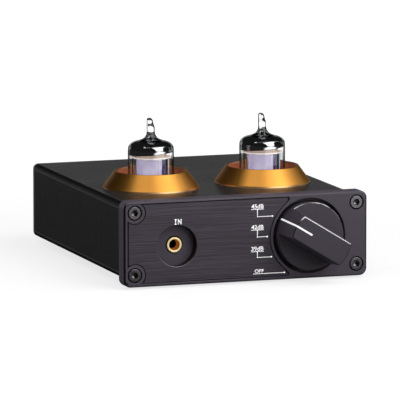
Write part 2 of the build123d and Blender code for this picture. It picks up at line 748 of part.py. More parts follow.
with BuildPart() as switch_wafer:
    with BuildSketch(facing(WAFER_FRONT, KNOB_X, KNOB_Z)):
        Rectangle(SWITCH_W, SWITCH_W)
        Circle(PIVOT_R + SHAFT_PLAY, mode=Mode.SUBTRACT)
    extrude(amount=-SWITCH_WAFER_T)
save(switch_wafer, "switch_wafer")

# Four fixed contacts, one for each click of the knob.
with BuildPart() as switch_contacts:
    with BuildSketch(KNOB_FACE.offset(PANEL_FRONT - WAFER_FRONT)):
        with PolarLocations(WIPER_CIRCLE_R, 4, angular_range=3 * DETENT_STEP, endpoint=True):
            Circle(CONTACT_R)
    extrude(amount=CONTACT_T)
save(switch_contacts, "switch_contacts")

SWITCH_PIN_XS = tuple(KNOB_X + SWITCH_PIN_PITCH * step for step in (-2, -1, 0, 1, 2))
with BuildPart() as switch_pins:
    with BuildSketch(facing(WAFER_BACK)):
        for x in SWITCH_PIN_XS:
            with Locations((x, LEG_BOTTOM)):
                Rectangle(SWITCH_PIN_W, BOARD_TOP + PIN_TAIL - LEG_BOTTOM, align=(Align.CENTER, Align.MIN))
    extrude(amount=-SWITCH_PIN_T)
save(switch_pins, "switch_pins")

with BuildPart() as switch_rotor:
    with BuildSketch(facing(ROTOR_FRONT, KNOB_X, KNOB_Z)):
        Circle(ROTOR_R)
        Circle(SHAFT_R, mode=Mode.SUBTRACT)
    extrude(amount=-ROTOR_T)
    with BuildSketch(KNOB_FACE.offset(PANEL_FRONT - ROTOR_BACK)):
        with Locations((WIPER_CIRCLE_R, 0)):
            Circle(WIPER_R)
    extrude(amount=-(CONTACT_FRONT - WIPER_GAP - ROTOR_BACK))
save(switch_rotor, "switch_rotor")

# The shaft has a flat for the grub screw, on the side away from the pointer.
with BuildPart() as switch_shaft:
    turned_on_depth(KNOB_X, KNOB_Z, (
        (0, SHAFT_END),
        (SHAFT_R, SHAFT_END),
        (SHAFT_R, ROTOR_BACK),
        (PIVOT_R, ROTOR_BACK),
        (PIVOT_R, WAFER_FRONT + PIVOT_L),
        (0, WAFER_FRONT + PIVOT_L),
    ))
    with BuildSketch(KNOB_FACE.offset(PANEL_FRONT - BUSHING_END)):
        with Locations((-SHAFT_FLAT, 0)):
            Rectangle(SHAFT_R, 2 * SHAFT_R, align=(Align.MAX, Align.CENTER))
    extrude(amount=BUSHING_END - SHAFT_END, mode=Mode.SUBTRACT)
save(switch_shaft, "switch_shaft")

with BuildPart() as switch_washer:
    with BuildSketch(facing(RECESS_FLOOR, KNOB_X, KNOB_Z)):
        Circle(SWITCH_WASHER_R)
        Circle(BUSHING_R, mode=Mode.SUBTRACT)
    extrude(amount=SWITCH_WASHER_T)
save(switch_washer, "switch_washer")

with BuildPart() as switch_nut:
    with BuildSketch(facing(RECESS_FLOOR - SWITCH_WASHER_T, KNOB_X, KNOB_Z)):
        RegularPolygon(SWITCH_NUT_AF / 2, 6, major_radius=False)
        Circle(BUSHING_R, mode=Mode.SUBTRACT)
    extrude(amount=SWITCH_NUT_T)
save(switch_nut, "switch_nut")

# --------------------------------------------------------------------- gain knob
# In the knob's own side view, heights are counted outwards from the panel's face.
KNOB_BASE = KNOB_FLOOR_GAP - KNOB_RECESS_DEPTH
HOLLOW_ROOF = KNOB_DISC_PROUD - KNOB_HOLLOW_FACE
SHAFT_BORE_END = KNOB_PROUD - SHAFT_FROM_TOP
GRUB_H = KNOB_PROUD - GRUB_FROM_TOP
SKIRT_END = KNOB_DISC_PROUD - POINTER_DOWN_SKIRT
BAR_DRAFT = (BAR_FOOT_W - BAR_TOP_W) / 2 / (KNOB_PROUD - KNOB_DISC_PROUD)


def pointer_outline(outwards):
    """The pointer's side view: along the top, down the bar's end and down the skirt."""
    with BuildLine() as edges:
        Polyline(
            (POINTER_START_R, KNOB_PROUD + outwards),
            (KNOB_TOP_R + outwards, KNOB_PROUD + outwards),
            (KNOB_SKIRT_R + outwards, KNOB_DISC_PROUD),
            (KNOB_SKIRT_R + outwards, SKIRT_END),
            (KNOB_SKIRT_R - POINTER_DEPTH, SKIRT_END),
            (KNOB_SKIRT_R - POINTER_DEPTH, KNOB_DISC_PROUD),
            (KNOB_TOP_R - POINTER_DEPTH, KNOB_PROUD - POINTER_DEPTH),
            (POINTER_START_R, KNOB_PROUD - POINTER_DEPTH),
            close=True,
        )
    make_face(edges.line)


with BuildPart() as knob:
    with BuildSketch(KNOB_SIDE):
        with BuildLine():
            Polyline(
                (0, KNOB_BASE),
                (KNOB_SKIRT_R, KNOB_BASE),
                (KNOB_SKIRT_R, KNOB_DISC_PROUD),
                (KNOB_TOP_R, KNOB_PROUD),
                (0, KNOB_PROUD),
                close=True,
            )
        make_face()
    revolve(axis=KNOB_AXIS)
    with BuildSketch(Plane(origin=KNOB_ORIGIN, x_dir=KNOB_FACE.y_dir, z_dir=KNOB_FACE.x_dir)):
        for side in (-1, 1):
            with BuildLine():
                Polyline(
                    (side * BAR_FOOT_W / 2, KNOB_DISC_PROUD),
                    (side * 2 * KNOB_SKIRT_R, KNOB_DISC_PROUD),
                    (side * 2 * KNOB_SKIRT_R, 2 * KNOB_PROUD),
                    (side * (BAR_TOP_W / 2 - BAR_DRAFT * KNOB_PROUD), 2 * KNOB_PROUD),
                    (side * BAR_TOP_W / 2, KNOB_PROUD),
                    close=True,
                )
            make_face()
    extrude(amount=2 * KNOB_SKIRT_R, both=True, mode=Mode.SUBTRACT)
    chamfer(knob.faces().sort_by(Axis.Y)[0].edges(), KNOB_EDGE)
    with BuildSketch(KNOB_FACE.offset(KNOB_BASE)):
        Circle(KNOB_HOLLOW_R)
    extrude(amount=HOLLOW_ROOF - KNOB_BASE, mode=Mode.SUBTRACT)
    with BuildSketch(KNOB_FACE.offset(HOLLOW_ROOF)):
        Circle(SHAFT_R)
    extrude(amount=SHAFT_BORE_END - HOLLOW_ROOF, mode=Mode.SUBTRACT)
    with BuildSketch(Plane(origin=KNOB_FACE.from_local_coords((0, 0, GRUB_H)), z_dir=-KNOB_FACE.x_dir)):
        Circle(GRUB_R)
    extrude(amount=2 * KNOB_SKIRT_R, mode=Mode.SUBTRACT)
    with BuildSketch(KNOB_SIDE):
        pointer_outline(POINTER_DEPTH)
    extrude(amount=POINTER_W / 2, both=True, mode=Mode.SUBTRACT)
save(knob, "knob")

with BuildPart() as knob_pointer:
    with BuildSketch(KNOB_SIDE):
        pointer_outline(0)
    extrude(amount=POINTER_W / 2, both=True)
save(knob_pointer, "knob_pointer")

GRUB_FACE = Plane(origin=KNOB_FACE.from_local_coords((-SHAFT_FLAT, 0, GRUB_H)), z_dir=-KNOB_FACE.x_dir)
with BuildPart() as knob_grub_screw:
    with BuildSketch(GRUB_FACE):
        Circle(GRUB_R)
    extrude(amount=GRUB_L)
    with BuildSketch(GRUB_FACE.offset(GRUB_L)):
        RegularPolygon(GRUB_HEX_AF / 2, 6, major_radius=False)
    extrude(amount=-GRUB_HEX_DEPTH, mode=Mode.SUBTRACT)
save(knob_grub_screw, "knob_grub_screw")

# ------------------------------------------------------------ front 3.5 mm input jack
JACK_NOSE = PANEL_FRONT + DISH_DEPTH - JACK_RING_PROUD
JACK_BACK = PANEL_BACK + JACK_BODY_L
JACK_BORE_END = JACK_BACK - JACK_BACK_WALL
with BuildPart() as jack_ring:
    turned_on_depth(JACK_X, JACK_Z, (
        (JACK_BORE_R + JACK_MOUTH, JACK_NOSE),
        (JACK_RING_R, JACK_NOSE),
        (JACK_RING_R, PANEL_BACK),
        (JACK_BORE_R, PANEL_BACK),
        (JACK_BORE_R, JACK_NOSE + JACK_MOUTH),
    ))
save(jack_ring, "jack_ring")


def jack_springs(mode):
    """Three contact springs, on the left, right and top of the jack's bore."""
    spring_r = JACK_BORE_R + JACK_SPRING_T / 2
    with BuildSketch(facing(JACK_BACK, JACK_X, JACK_Z)) as springs:
        with Locations((-spring_r, 0), (spring_r, 0)):
            Rectangle(JACK_SPRING_T, JACK_SPRING_W)
        with Locations((0, spring_r)):
            Rectangle(JACK_SPRING_W, JACK_SPRING_T)
    extrude(springs.sketch, amount=JACK_SPRING_L, mode=mode)


with BuildPart() as jack_housing:
    with BuildSketch(facing(PANEL_BACK, JACK_X, BOARD_TOP)):
        Rectangle(JACK_BODY_W, 2 * JACK_AXIS_H, align=(Align.CENTER, Align.MIN))
    extrude(amount=-JACK_BODY_L)
    with BuildSketch(facing(PANEL_BACK, JACK_X, JACK_Z)):
        Circle(JACK_BORE_R)
    extrude(amount=-(JACK_BORE_END - PANEL_BACK), mode=Mode.SUBTRACT)
    jack_springs(Mode.SUBTRACT)
save(jack_housing, "jack_housing")

# Each spring comes out of the jack's back and goes down to the board.
SIDE_LEG_X = JACK_BORE_R + JACK_SPRING_T / 2
with BuildPart() as jack_contacts:
    jack_springs(Mode.ADD)
    with BuildSketch(facing(JACK_BACK, JACK_X, BOARD_TOP)):
        with Locations((-SIDE_LEG_X, 0), (SIDE_LEG_X, 0)):
            Rectangle(JACK_SPRING_T, JACK_AXIS_H + JACK_SPRING_W / 2, align=(Align.CENTER, Align.MIN))
        Rectangle(JACK_SPRING_W, JACK_AXIS_H + JACK_BORE_R + JACK_SPRING_T, align=(Align.CENTER, Align.MIN))
    extrude(amount=-JACK_SPRING_T)
save(jack_contacts, "jack_contacts")

# ------------------------------------------------------------------- phono sockets
PHONO_TIP = REAR_BACK + PHONO_PROUD
COLLAR_BACK = REAR_BACK + PHONO_COLLAR_PROUD
PHONO_INNER_R = PHONO_R - PHONO_WALL
PHONO_CONTACT_OUTER_R = PHONO_CONTACT_R + PHONO_CONTACT_WALL
with BuildPart() as phono_shells:
    for x in PHONO_XS:
        turned_on_depth(x, PHONO_Z, (
            (PHONO_INNER_R, REAR_FRONT),
            (PHONO_FLANGE_R, REAR_FRONT),
            (PHONO_FLANGE_R, COLLAR_BACK),
            (PHONO_R, COLLAR_BACK),
            (PHONO_R, PHONO_TIP),
            (PHONO_INNER_R, PHONO_TIP),
        ))
save(phono_shells, "phono_shells")

with BuildPart() as phono_contacts:
    for x in PHONO_XS:
        turned_on_depth(x, PHONO_Z, (
            (PHONO_CONTACT_R, REAR_FRONT),
            (PHONO_CONTACT_OUTER_R, REAR_FRONT),
            (PHONO_CONTACT_OUTER_R, PHONO_TIP - PHONO_CONTACT_SINK),
            (PHONO_CONTACT_R, PHONO_TIP - PHONO_CONTACT_SINK),
        ))
save(phono_contacts, "phono_contacts")

# The left channel's insulators are white and the right channel's are red.
for colour, sockets in (("white", PHONO_XS[0::2]), ("red", PHONO_XS[1::2])):
    with BuildPart() as phono_insulators:
        for x in sockets:
            turned_on_depth(x, PHONO_Z, (
                (PHONO_CONTACT_OUTER_R, REAR_FRONT),
                (PHONO_INNER_R, REAR_FRONT),
                (PHONO_INNER_R, PHONO_TIP - PHONO_CORE_SINK),
                (PHONO_CONTACT_OUTER_R, PHONO_TIP - PHONO_CORE_SINK),
            ))
            turned_on_depth(x, PHONO_Z, (
                (PHONO_FLANGE_R, REAR_FRONT),
                (PHONO_COLLAR_R, REAR_FRONT),
                (PHONO_COLLAR_R, COLLAR_BACK),
                (PHONO_FLANGE_R, COLLAR_BACK),
            ))
    save(phono_insulators, f"phono_insulators_{colour}")

with BuildPart() as phono_blocks:
    for first, last in (PHONO_XS[:2], PHONO_XS[2:]):
        with BuildSketch(facing(REAR_FRONT, (first + last) / 2, BOARD_TOP)):
            Rectangle(last - first + 2 * PHONO_BLOCK_SIDE, PHONO_BLOCK_H, align=(Align.CENTER, Align.MIN))
        extrude(amount=PHONO_BLOCK_L)
save(phono_blocks, "phono_blocks")

# --------------------------------------------------------------------- power inlet
INLET_TIP = REAR_BACK + INLET_NOSE_PROUD
INLET_BORE_END = INLET_TIP - INLET_BORE_L


def inlet_spring(mode):
    """The leaf spring under the inlet's bore."""
    with BuildSketch(facing(INLET_BORE_END, INLET_X, INLET_Z - INLET_BORE_R)) as leaf:
        Rectangle(INLET_SPRING_W, INLET_SPRING_T, align=(Align.CENTER, Align.MAX))
    extrude(leaf.sketch, amount=-INLET_SPRING_L, mode=mode)


with BuildPart() as inlet_housing:
    with BuildSketch(facing(REAR_FRONT, INLET_X, BOARD_TOP)):
        Rectangle(INLET_BODY_W, INLET_BODY_H, align=(Align.CENTER, Align.MIN))
    extrude(amount=INLET_BODY_L)
    with BuildSketch(facing(REAR_FRONT, INLET_X, INLET_Z)):
        Circle(INLET_NOSE_R)
    extrude(amount=-(INLET_TIP - REAR_FRONT))
    with BuildSketch(facing(INLET_BORE_END, INLET_X, INLET_Z)):
        Circle(INLET_BORE_R)
    extrude(amount=-INLET_BORE_L, mode=Mode.SUBTRACT)
    inlet_spring(Mode.SUBTRACT)
save(inlet_housing, "inlet_housing")

with BuildPart() as inlet_contacts:
    with BuildSketch(facing(INLET_BORE_END, INLET_X, INLET_Z)):
        Circle(INLET_PIN_R)
    extrude(amount=-(INLET_BORE_L - INLET_PIN_SINK))
    inlet_spring(Mode.ADD)
save(inlet_contacts, "inlet_contacts")

# ------------------------------------------------------------------ earth terminal
STUD_TIP = REAR_BACK + STUD_PROUD
STRAP_FRONT = REAR_FRONT - STRAP_T
WASHER_FRONT = REAR_BACK + STUD_NUT_T
THUMB_FRONT = WASHER_FRONT + EARTH_WASHER_T
THUMB_TIP = THUMB_FRONT + THUMB_L
with BuildPart() as earth_stud:
    turned_on_depth(EARTH_X, PHONO_Z, (
        (0, REAR_FRONT - STUD_INSIDE),
        (STUD_R, REAR_FRONT - STUD_INSIDE),
        (STUD_R, STUD_TIP - STUD_EDGE),
        (STUD_R - STUD_EDGE, STUD_TIP),
        (0, STUD_TIP),
    ))
save(earth_stud, "earth_stud")

with BuildPart() as earth_nuts:
    for nut_front in (STRAP_FRONT - STUD_NUT_T, REAR_BACK):
        with BuildSketch(facing(nut_front, EARTH_X, PHONO_Z)):
            RegularPolygon(STUD_NUT_AF / 2, 6, major_radius=False)
            Circle(STUD_R, mode=Mode.SUBTRACT)
        extrude(amount=-STUD_NUT_T)
save(earth_nuts, "earth_nuts")

with BuildPart() as earth_strap:
    with BuildSketch(facing(STRAP_FRONT, EARTH_X, BOARD_TOP)):
        Rectangle(STRAP_W, PHONO_AXIS_H + STRAP_W / 2, align=(Align.CENTER, Align.MIN))
        with Locations((0, PHONO_AXIS_H)):
            Circle(STUD_R, mode=Mode.SUBTRACT)
    extrude(amount=-STRAP_T)
    with BuildSketch(facing(STRAP_FRONT, EARTH_X, BOARD_TOP)):
        Rectangle(STRAP_W, STRAP_T, align=(Align.CENTER, Align.MIN))
    extrude(amount=STRAP_FOOT - STRAP_T)
save(earth_strap, "earth_strap")

with BuildPart() as earth_washer:
    with BuildSketch(facing(WASHER_FRONT, EARTH_X, PHONO_Z)):
        Circle(EARTH_WASHER_R)
        Circle(STUD_R + EARTH_WASHER_PLAY, mode=Mode.SUBTRACT)
    extrude(amount=-EARTH_WASHER_T)
save(earth_washer, "earth_washer")

with BuildPart() as earth_thumb_nut:
    turned_on_depth(EARTH_X, PHONO_Z, (
        (STUD_R + THUMB_PLAY, THUMB_FRONT),
        (THUMB_R - THUMB_EDGE, THUMB_FRONT),
        (THUMB_R, THUMB_FRONT + THUMB_EDGE),
        (THUMB_R, THUMB_TIP - THUMB_EDGE),
        (THUMB_R - THUMB_EDGE, THUMB_TIP),
        (STUD_R + THUMB_PLAY, THUMB_TIP),
    ))
    with BuildSketch(facing(THUMB_FRONT, EARTH_X, PHONO_Z)):
        with PolarLocations(THUMB_R, THUMB_FLUTES):
            Circle(THUMB_FLUTE_R)
    extrude(amount=-THUMB_L, mode=Mode.SUBTRACT)
save(earth_thumb_nut, "earth_thumb_nut")

# --------------------------------------------------------------------- main board
with BuildPart() as main_board:
    with BuildSketch(level(BOARD_BOTTOM, 0, PANEL_BACK + SLEEVE_L / 2)):
        Rectangle(BOARD_W, BOARD_L)
    extrude(amount=BOARD_T)
    with BuildSketch(level(BOARD_BOTTOM)):
        for tube_x in TUBES.values():
            with Locations(*[(tube_x + across, TUBE_Y + along) for across, along in PIN_PLACES]):
                Circle(LEG_R)
        with Locations(*[(x, WAFER_BACK) for x in SWITCH_PIN_XS]):
            Rectangle(SWITCH_PIN_W, SWITCH_PIN_T, align=(Align.CENTER, Align.MIN))
    extrude(amount=BOARD_T, mode=Mode.SUBTRACT)
save(main_board, "main_board")

ELECTROLYTIC_X = CASE_W / 2 - CASE_WALL - RIB_OUT - ELECTROLYTIC_RIB_GAP - ELECTROLYTIC_R
with BuildPart() as electrolytic_capacitors:
    with BuildSketch(level(BOARD_TOP)):
        with Locations(*[(ELECTROLYTIC_X, y) for y in (ROW_YS[0], ROW_YS[2])]):
            Circle(ELECTROLYTIC_R)
        with Locations(*[(-ELECTROLYTIC_X, y) for y in (ROW_YS[1], ROW_YS[3])]):
            Circle(ELECTROLYTIC_R)
    extrude(amount=ELECTROLYTIC_H)
    fillet(electrolytic_capacitors.edges().group_by(Axis.Z)[-1], ELECTROLYTIC_EDGE_R)
save(electrolytic_capacitors, "electrolytic_capacitors")

with BuildPart() as film_capacitors:
    with BuildSketch(level(BOARD_TOP)):
        with Locations(*[(x, y) for x in (-FILM_OUT, FILM_OUT) for y in (ROW_YS[1], ROW_YS[2])]):
            RectangleRounded(FILM_W, FILM_D, FILM_EDGE_R)
        with Locations((0, ROW_YS[0]), (0, ROW_YS[1])):
            RectangleRounded(FILM_W, FILM_D, FILM_EDGE_R)
    extrude(amount=FILM_H)
save(film_capacitors, "film_capacitors")

with BuildPart() as amplifier_chips:
    with BuildSketch(level(BOARD_TOP)):
        with Locations((-CHIP_OUT, TUBE_Y), (CHIP_OUT, TUBE_Y), (0, ROW_YS[3])):
            Rectangle(CHIP_W, CHIP_D)
    extrude(amount=CHIP_H)
save(amplifier_chips, "amplifier_chips")

with BuildPart() as chip_resistors:
    with BuildSketch(level(BOARD_TOP, 0, TUBE_Y)):
        with GridLocations(RESISTOR_PITCH, 2 * RESISTOR_ROW_OUT, 4, 2):
            Rectangle(RESISTOR_W, RESISTOR_D)
    extrude(amount=RESISTOR_H)
save(chip_resistors, "chip_resistors")

with BuildPart() as supply_choke:
    with BuildSketch(level(BOARD_TOP)):
        with Locations((CHOKE_X, ROW_YS[3])):
            Circle(CHOKE_R)
            Circle(CHOKE_EYE_R, mode=Mode.SUBTRACT)
    extrude(amount=CHOKE_H)
save(supply_choke, "supply_choke")

with BuildPart() as voltage_regulator:
    with BuildSketch(facing(BACK_ROW, REGULATOR_X, BOARD_TOP)):
        Rectangle(REGULATOR_W, REGULATOR_H, align=(Align.CENTER, Align.MIN))
    extrude(amount=-REGULATOR_T)
save(voltage_regulator, "voltage_regulator")

FIN_STEP = (SINK_W - SINK_FIN_T) / (SINK_FINS - 1)
with BuildPart() as heat_sink:
    with BuildSketch(facing(BACK_ROW, REGULATOR_X, BOARD_TOP)):
        Rectangle(SINK_W, SINK_H, align=(Align.CENTER, Align.MIN))
    extrude(amount=SINK_BASE_T)
    with BuildSketch(facing(BACK_ROW - SINK_BASE_T, REGULATOR_X, BOARD_TOP + SINK_H / 2)):
        with GridLocations(FIN_STEP, 1, SINK_FINS, 1):
            Rectangle(SINK_FIN_T, SINK_H)
    extrude(amount=SINK_FIN_L)
save(heat_sink, "heat_sink")

print(f"overall {PANEL_W:.1f} x {OVERALL_L:.1f} x {GLASS_TOP:.1f} mm")
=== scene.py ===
import json
from math import atan2, cos, hypot, pi, radians, sin

import bmesh
import bpy
from mathutils import Matrix, Vector

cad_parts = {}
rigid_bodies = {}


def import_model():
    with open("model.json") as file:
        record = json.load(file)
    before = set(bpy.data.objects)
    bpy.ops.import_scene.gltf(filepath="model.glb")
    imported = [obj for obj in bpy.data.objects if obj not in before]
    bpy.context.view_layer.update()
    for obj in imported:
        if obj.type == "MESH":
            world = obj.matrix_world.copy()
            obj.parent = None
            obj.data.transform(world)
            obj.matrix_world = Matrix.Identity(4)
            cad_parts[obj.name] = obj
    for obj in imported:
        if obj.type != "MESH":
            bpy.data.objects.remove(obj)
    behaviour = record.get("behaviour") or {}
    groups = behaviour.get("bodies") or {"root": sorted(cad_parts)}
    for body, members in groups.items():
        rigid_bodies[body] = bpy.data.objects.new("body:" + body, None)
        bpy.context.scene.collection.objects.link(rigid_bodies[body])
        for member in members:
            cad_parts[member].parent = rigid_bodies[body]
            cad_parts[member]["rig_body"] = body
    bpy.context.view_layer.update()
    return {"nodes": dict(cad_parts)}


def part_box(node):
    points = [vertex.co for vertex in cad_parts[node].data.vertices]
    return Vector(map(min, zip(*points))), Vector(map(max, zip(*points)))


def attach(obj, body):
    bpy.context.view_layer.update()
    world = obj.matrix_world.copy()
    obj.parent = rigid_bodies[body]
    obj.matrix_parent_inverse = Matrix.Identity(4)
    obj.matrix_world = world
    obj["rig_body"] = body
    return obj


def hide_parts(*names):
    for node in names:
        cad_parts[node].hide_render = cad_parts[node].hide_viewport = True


# Looks of a valve phono preamplifier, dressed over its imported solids. Metres, +Z up.
# Lengths of the pieces are given in millimetres, as on a drawing, and those of the studio in metres.

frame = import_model()
NODES = frame["nodes"]
SCENE = bpy.context.scene
MM = 0.001
X, Y, Z = range(3)


def in_mm(corner):
    """A place in the frame in millimetres, to a hundredth."""
    return [round(value / MM, 2) for value in corner]


def lowest_of(node):
    """The lowest corner of a node's box at rest."""
    return in_mm(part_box(node)[0])


def highest_of(node):
    """The highest corner of a node's box at rest."""
    return in_mm(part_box(node)[1])


def middle_of(node):
    """The middle of a node's box at rest."""
    lowest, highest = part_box(node)
    return in_mm((lowest + highest) / 2)


# Places and sizes that several pieces share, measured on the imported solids
PANEL_FRONT, PANEL_HALF = lowest_of("front_panel")[Y], highest_of("front_panel")[X]
INLAY_FRONT = lowest_of("front_inlay")[Y]
KNOB_X, KNOB_Z = middle_of("knob")[X], middle_of("knob")[Z]
JACK_X, JACK_Z = middle_of("jack_ring")[X], middle_of("jack_ring")[Z]
TUBE_X = {hand: middle_of(f"tube_glass_{hand}")[X] for hand in ("left", "right")}
TUBE_Y = middle_of("tube_glass_left")[Y]
GLASS_R = highest_of("tube_glass_left")[X] - TUBE_X["left"]
SEAT_Z = lowest_of("tube_glass_left")[Z]
CASE_HALF, CASE_TOP = highest_of("case_sleeve")[X], highest_of("case_sleeve")[Z]
CASE_FLOOR = lowest_of("case_sleeve")[Z]

# Sizes that the boxes don't tell: the case's long edges, the dish round the jack, the top of the
# knob's bar and the angle that it points at in degrees, and the inside of a valve
CASE_EDGE_R = 2.2
DISH_R = 8.4
BAR_TOP_HALF, BAR_ANGLE = 5.0, 148.5
INNER_R, SHOULDER_Z = 8.75, 49.6


# ------------------------------------------------------------------------ finishes
class Wire:
    """One socket of a finish's nodes, so that its maths reads as sums."""

    def __init__(self, finish, socket):
        self.finish, self.socket = finish, socket

    def maths(self, operation, *values):
        return self.finish.node("ShaderNodeMath", {"operation": operation}, dict(enumerate(values)))

    def __add__(self, other):
        return self.maths("ADD", self, other)

    __radd__ = __add__

    def __mul__(self, other):
        return self.maths("MULTIPLY", self, other)

    __rmul__ = __mul__

    def __sub__(self, other):
        return self.maths("SUBTRACT", self, other)

    def __rsub__(self, other):
        return self.maths("SUBTRACT", other, self)

    def __truediv__(self, other):
        return self.maths("DIVIDE", self, other)

    def __gt__(self, other):
        return self.maths("GREATER_THAN", self, other)

    def __pow__(self, other):
        return self.maths("POWER", self, other)

    def size(self):
        """The value without its sign."""
        return self.maths("ABSOLUTE", self)

    def least(self, other):
        return self.maths("MINIMUM", self, other)

    def most(self, other):
        return self.maths("MAXIMUM", self, other)

    def ease(self, low, high, out_low=0.0, out_high=1.0):
        """Goes smoothly from out_low to out_high as the value goes from low to high."""
        return self.finish.node(
            "ShaderNodeMapRange",
            {"interpolation_type": "SMOOTHSTEP"},
            {0: self, 1: low, 2: high, 3: out_low, 4: out_high},
        )


class Finish:
    """A procedural material, or the studio's sky, built from nodes."""

    def __init__(self, name, owner=None, output="ShaderNodeOutputMaterial"):
        self.material = owner or bpy.data.materials.new(name + "_finish")
        self.material.use_nodes = True
        self.tree = self.material.node_tree
        self.tree.nodes.clear()
        self.output = self.tree.nodes.new(output)

    def node(self, kind, settings=None, values=None, out=0):
        """Adds a node. Its settings come first, then the values or links of its sockets."""
        made = self.tree.nodes.new(kind)
        for key, value in (settings or {}).items():
            if key == "stops":
                marks = made.color_ramp.elements
                marks.remove(marks[1])
                for number, (place, colour) in enumerate(value):
                    mark = marks[0] if number == 0 else marks.new(place)
                    mark.position, mark.color = place, colour
            else:
                setattr(made, key, value)
        for key, value in (values or {}).items():
            if isinstance(value, Wire):
                self.tree.links.new(value.socket, made.inputs[key])
            else:
                made.inputs[key].default_value = value
        return Wire(self, made.outputs[out])

    def place(self, scale=(1, 1, 1), centre=(0, 0, 0)):
        """Object coordinates from a centre in millimetres, times a scale."""
        where = self.node("ShaderNodeTexCoord", out="Object")
        moved = self.node(
            "ShaderNodeMapping",
            {"vector_type": "TEXTURE"},
            {"Vector": where, "Location": [c * MM for c in centre]},
        )
        return self.node("ShaderNodeMapping", None, {"Vector": moved, "Scale": scale})

    def part_of(self, vector, letter):
        """One of the X, Y and Z of a vector."""
        return self.node("ShaderNodeSeparateXYZ", None, {0: vector}, out=letter)

    def axis(self, letter, centre=(0, 0, 0)):
        """One Object coordinate in millimetres from a centre."""
        return self.part_of(self.place((1000, 1000, 1000), centre), letter)

    def upward(self):
        """How far the surface faces up: 1 on top, 0 on a side, -1 below."""
        return self.part_of(self.node("ShaderNodeTexCoord", out="Normal"), "Z")

    def noise(self, scale=(1, 1, 1), size=1.0, detail=2.0, rough=0.5, centre=(0, 0, 0)):
        """A cloudy pattern. Scale times size says how many clouds there are to a metre."""
        values = {
            "Vector": self.place(scale, centre),
            "Scale": size,
            "Detail": detail,
            "Roughness": rough,
        }
        return self.node("ShaderNodeTexNoise", None, values)

    def blend(self, share, first, second):
        """A colour between two, by share."""
        values = {0: share, 6: first, 7: second}
        return self.node("ShaderNodeMix", {"data_type": "RGBA"}, values, out=2)

    def speckle(self, pattern, first, second):
        """A colour that a noise pattern changes from the first to the second."""
        return self.blend(pattern.ease(0.3, 0.7), first, second)

    def ramp(self, share, *stops):
        """A colour by share, from stops of a share and its colour."""
        return self.node("ShaderNodeValToRGB", {"stops": stops}, {0: share})

    def bump(self, height, depth, strength=1.0):
        """Relief whose height pattern is worth depth millimetres."""
        values = {"Height": height, "Distance": depth * MM, "Strength": strength}
        return self.node("ShaderNodeBump", None, values)

    def skin(self, colour, rough, metal=0.0, normal=None, **sockets):
        """Ends the finish in a Principled shader. Socket names have _ for their spaces."""
        values = {"Base Color": colour, "Roughness": rough, "Metallic": metal}
        values.update({name.replace("_", " "): value for name, value in sockets.items()})
        if normal is not None:
            values["Normal"] = normal
        return self.wear(self.node("ShaderNodeBsdfPrincipled", None, values))

    def wear(self, shader):
        """Ends the finish in a shader."""
        self.tree.links.new(shader.socket, self.output.inputs["Surface"])
        return self


def rgb(red, green, blue):
    """An opaque colour."""
    return (red, green, blue, 1.0)


def toned(colour, factor=1.0):
    """A colour made darker or lighter by a factor."""
    return rgb(*[channel * factor for channel in colour])


def satin_grain(finish, rough, per_metre=5200):
    """The grit of fine paint or anodising, and a gloss that is a little uneven."""
    grit = finish.noise(size=per_metre, detail=3.0, rough=0.6)
    cloud = finish.noise(size=34, detail=3.0)
    return grit, rough + (cloud - 0.5) * 0.12 + (grit - 0.5) * 0.1


def satin_paint(name, colour, rough, sheen, grain=0.004, per_metre=5200):
    """Fine satin paint or anodising, speckled in colour."""
    finish = Finish(name)
    grit, gloss = satin_grain(finish, rough, per_metre)
    shade = finish.speckle(grit, toned(colour, 0.88), toned(colour, 1.12))
    return finish.skin(shade, gloss, normal=finish.bump(grit, grain), Specular_IOR_Level=sheen)


def sleeve_paint():
    """The case's satin black, with a painted dark reflection in each rounded long edge and painted
    highlights along both sides of it.
    """
    finish = Finish("sleeve_black")
    grit, gloss = satin_grain(finish, 0.27)
    beside = finish.axis("X").size() - (CASE_HALF - CASE_EDGE_R)
    above = finish.axis("Z") - (CASE_TOP - CASE_EDGE_R)
    below = (CASE_FLOOR + CASE_EDGE_R) - finish.axis("Z")
    into_edge = beside.least(above.most(below))
    # painted dark reflection in each rounded edge, and painted highlight bands just beside it
    turned = into_edge.ease(0.0, 0.4)
    painted_edge_highlight = into_edge.ease(-0.5, -0.15) * into_edge.ease(0.0, 0.25, 1.0, 0.0)
    plain = finish.speckle(grit, rgb(0.027, 0.0258, 0.027), rgb(0.033, 0.0316, 0.033))
    shade = finish.blend(turned, plain, rgb(0.004, 0.004, 0.004))
    shade = finish.blend(painted_edge_highlight, shade, rgb(0.085, 0.081, 0.085))
    return finish.skin(shade, gloss, normal=finish.bump(grit, 0.004), Specular_IOR_Level=0.08)


def turned_metal(name, colour, rough, centre, anisotropic=0.5):
    """Metal with the fine grooves of a lathe, which run round an upright axis."""
    finish = Finish(name)
    grooves = finish.noise(scale=(1, 1, 6500), centre=centre, detail=3.0, rough=0.7)
    bands = finish.noise(scale=(1, 1, 780), centre=centre, detail=2.0)
    cloud = finish.noise(size=90, detail=3.0)
    return finish.skin(
        finish.speckle(grooves, toned(colour, 0.88), toned(colour)),
        rough + (bands - 0.5) * 0.08 + (cloud - 0.5) * 0.06,
        1.0,
        finish.bump(grooves, 0.0025),
        Anisotropic=anisotropic,
        Anisotropic_Rotation=0.25,
    )


def plain_metal(name, colour, rough, grain=0.002):
    """Bright metal with fine scratches, cloudy in colour and gloss."""
    finish = Finish(name)
    scratch = finish.noise(size=2600, detail=4.0, rough=0.65)
    cloud = finish.noise(size=160, detail=3.0)
    shade = finish.speckle(cloud, toned(colour, 0.82), toned(colour))
    gloss = rough + (cloud - 0.5) * 0.14 + (scratch - 0.5) * 0.08
    return finish.skin(shade, gloss, 1.0, finish.bump(scratch, grain))


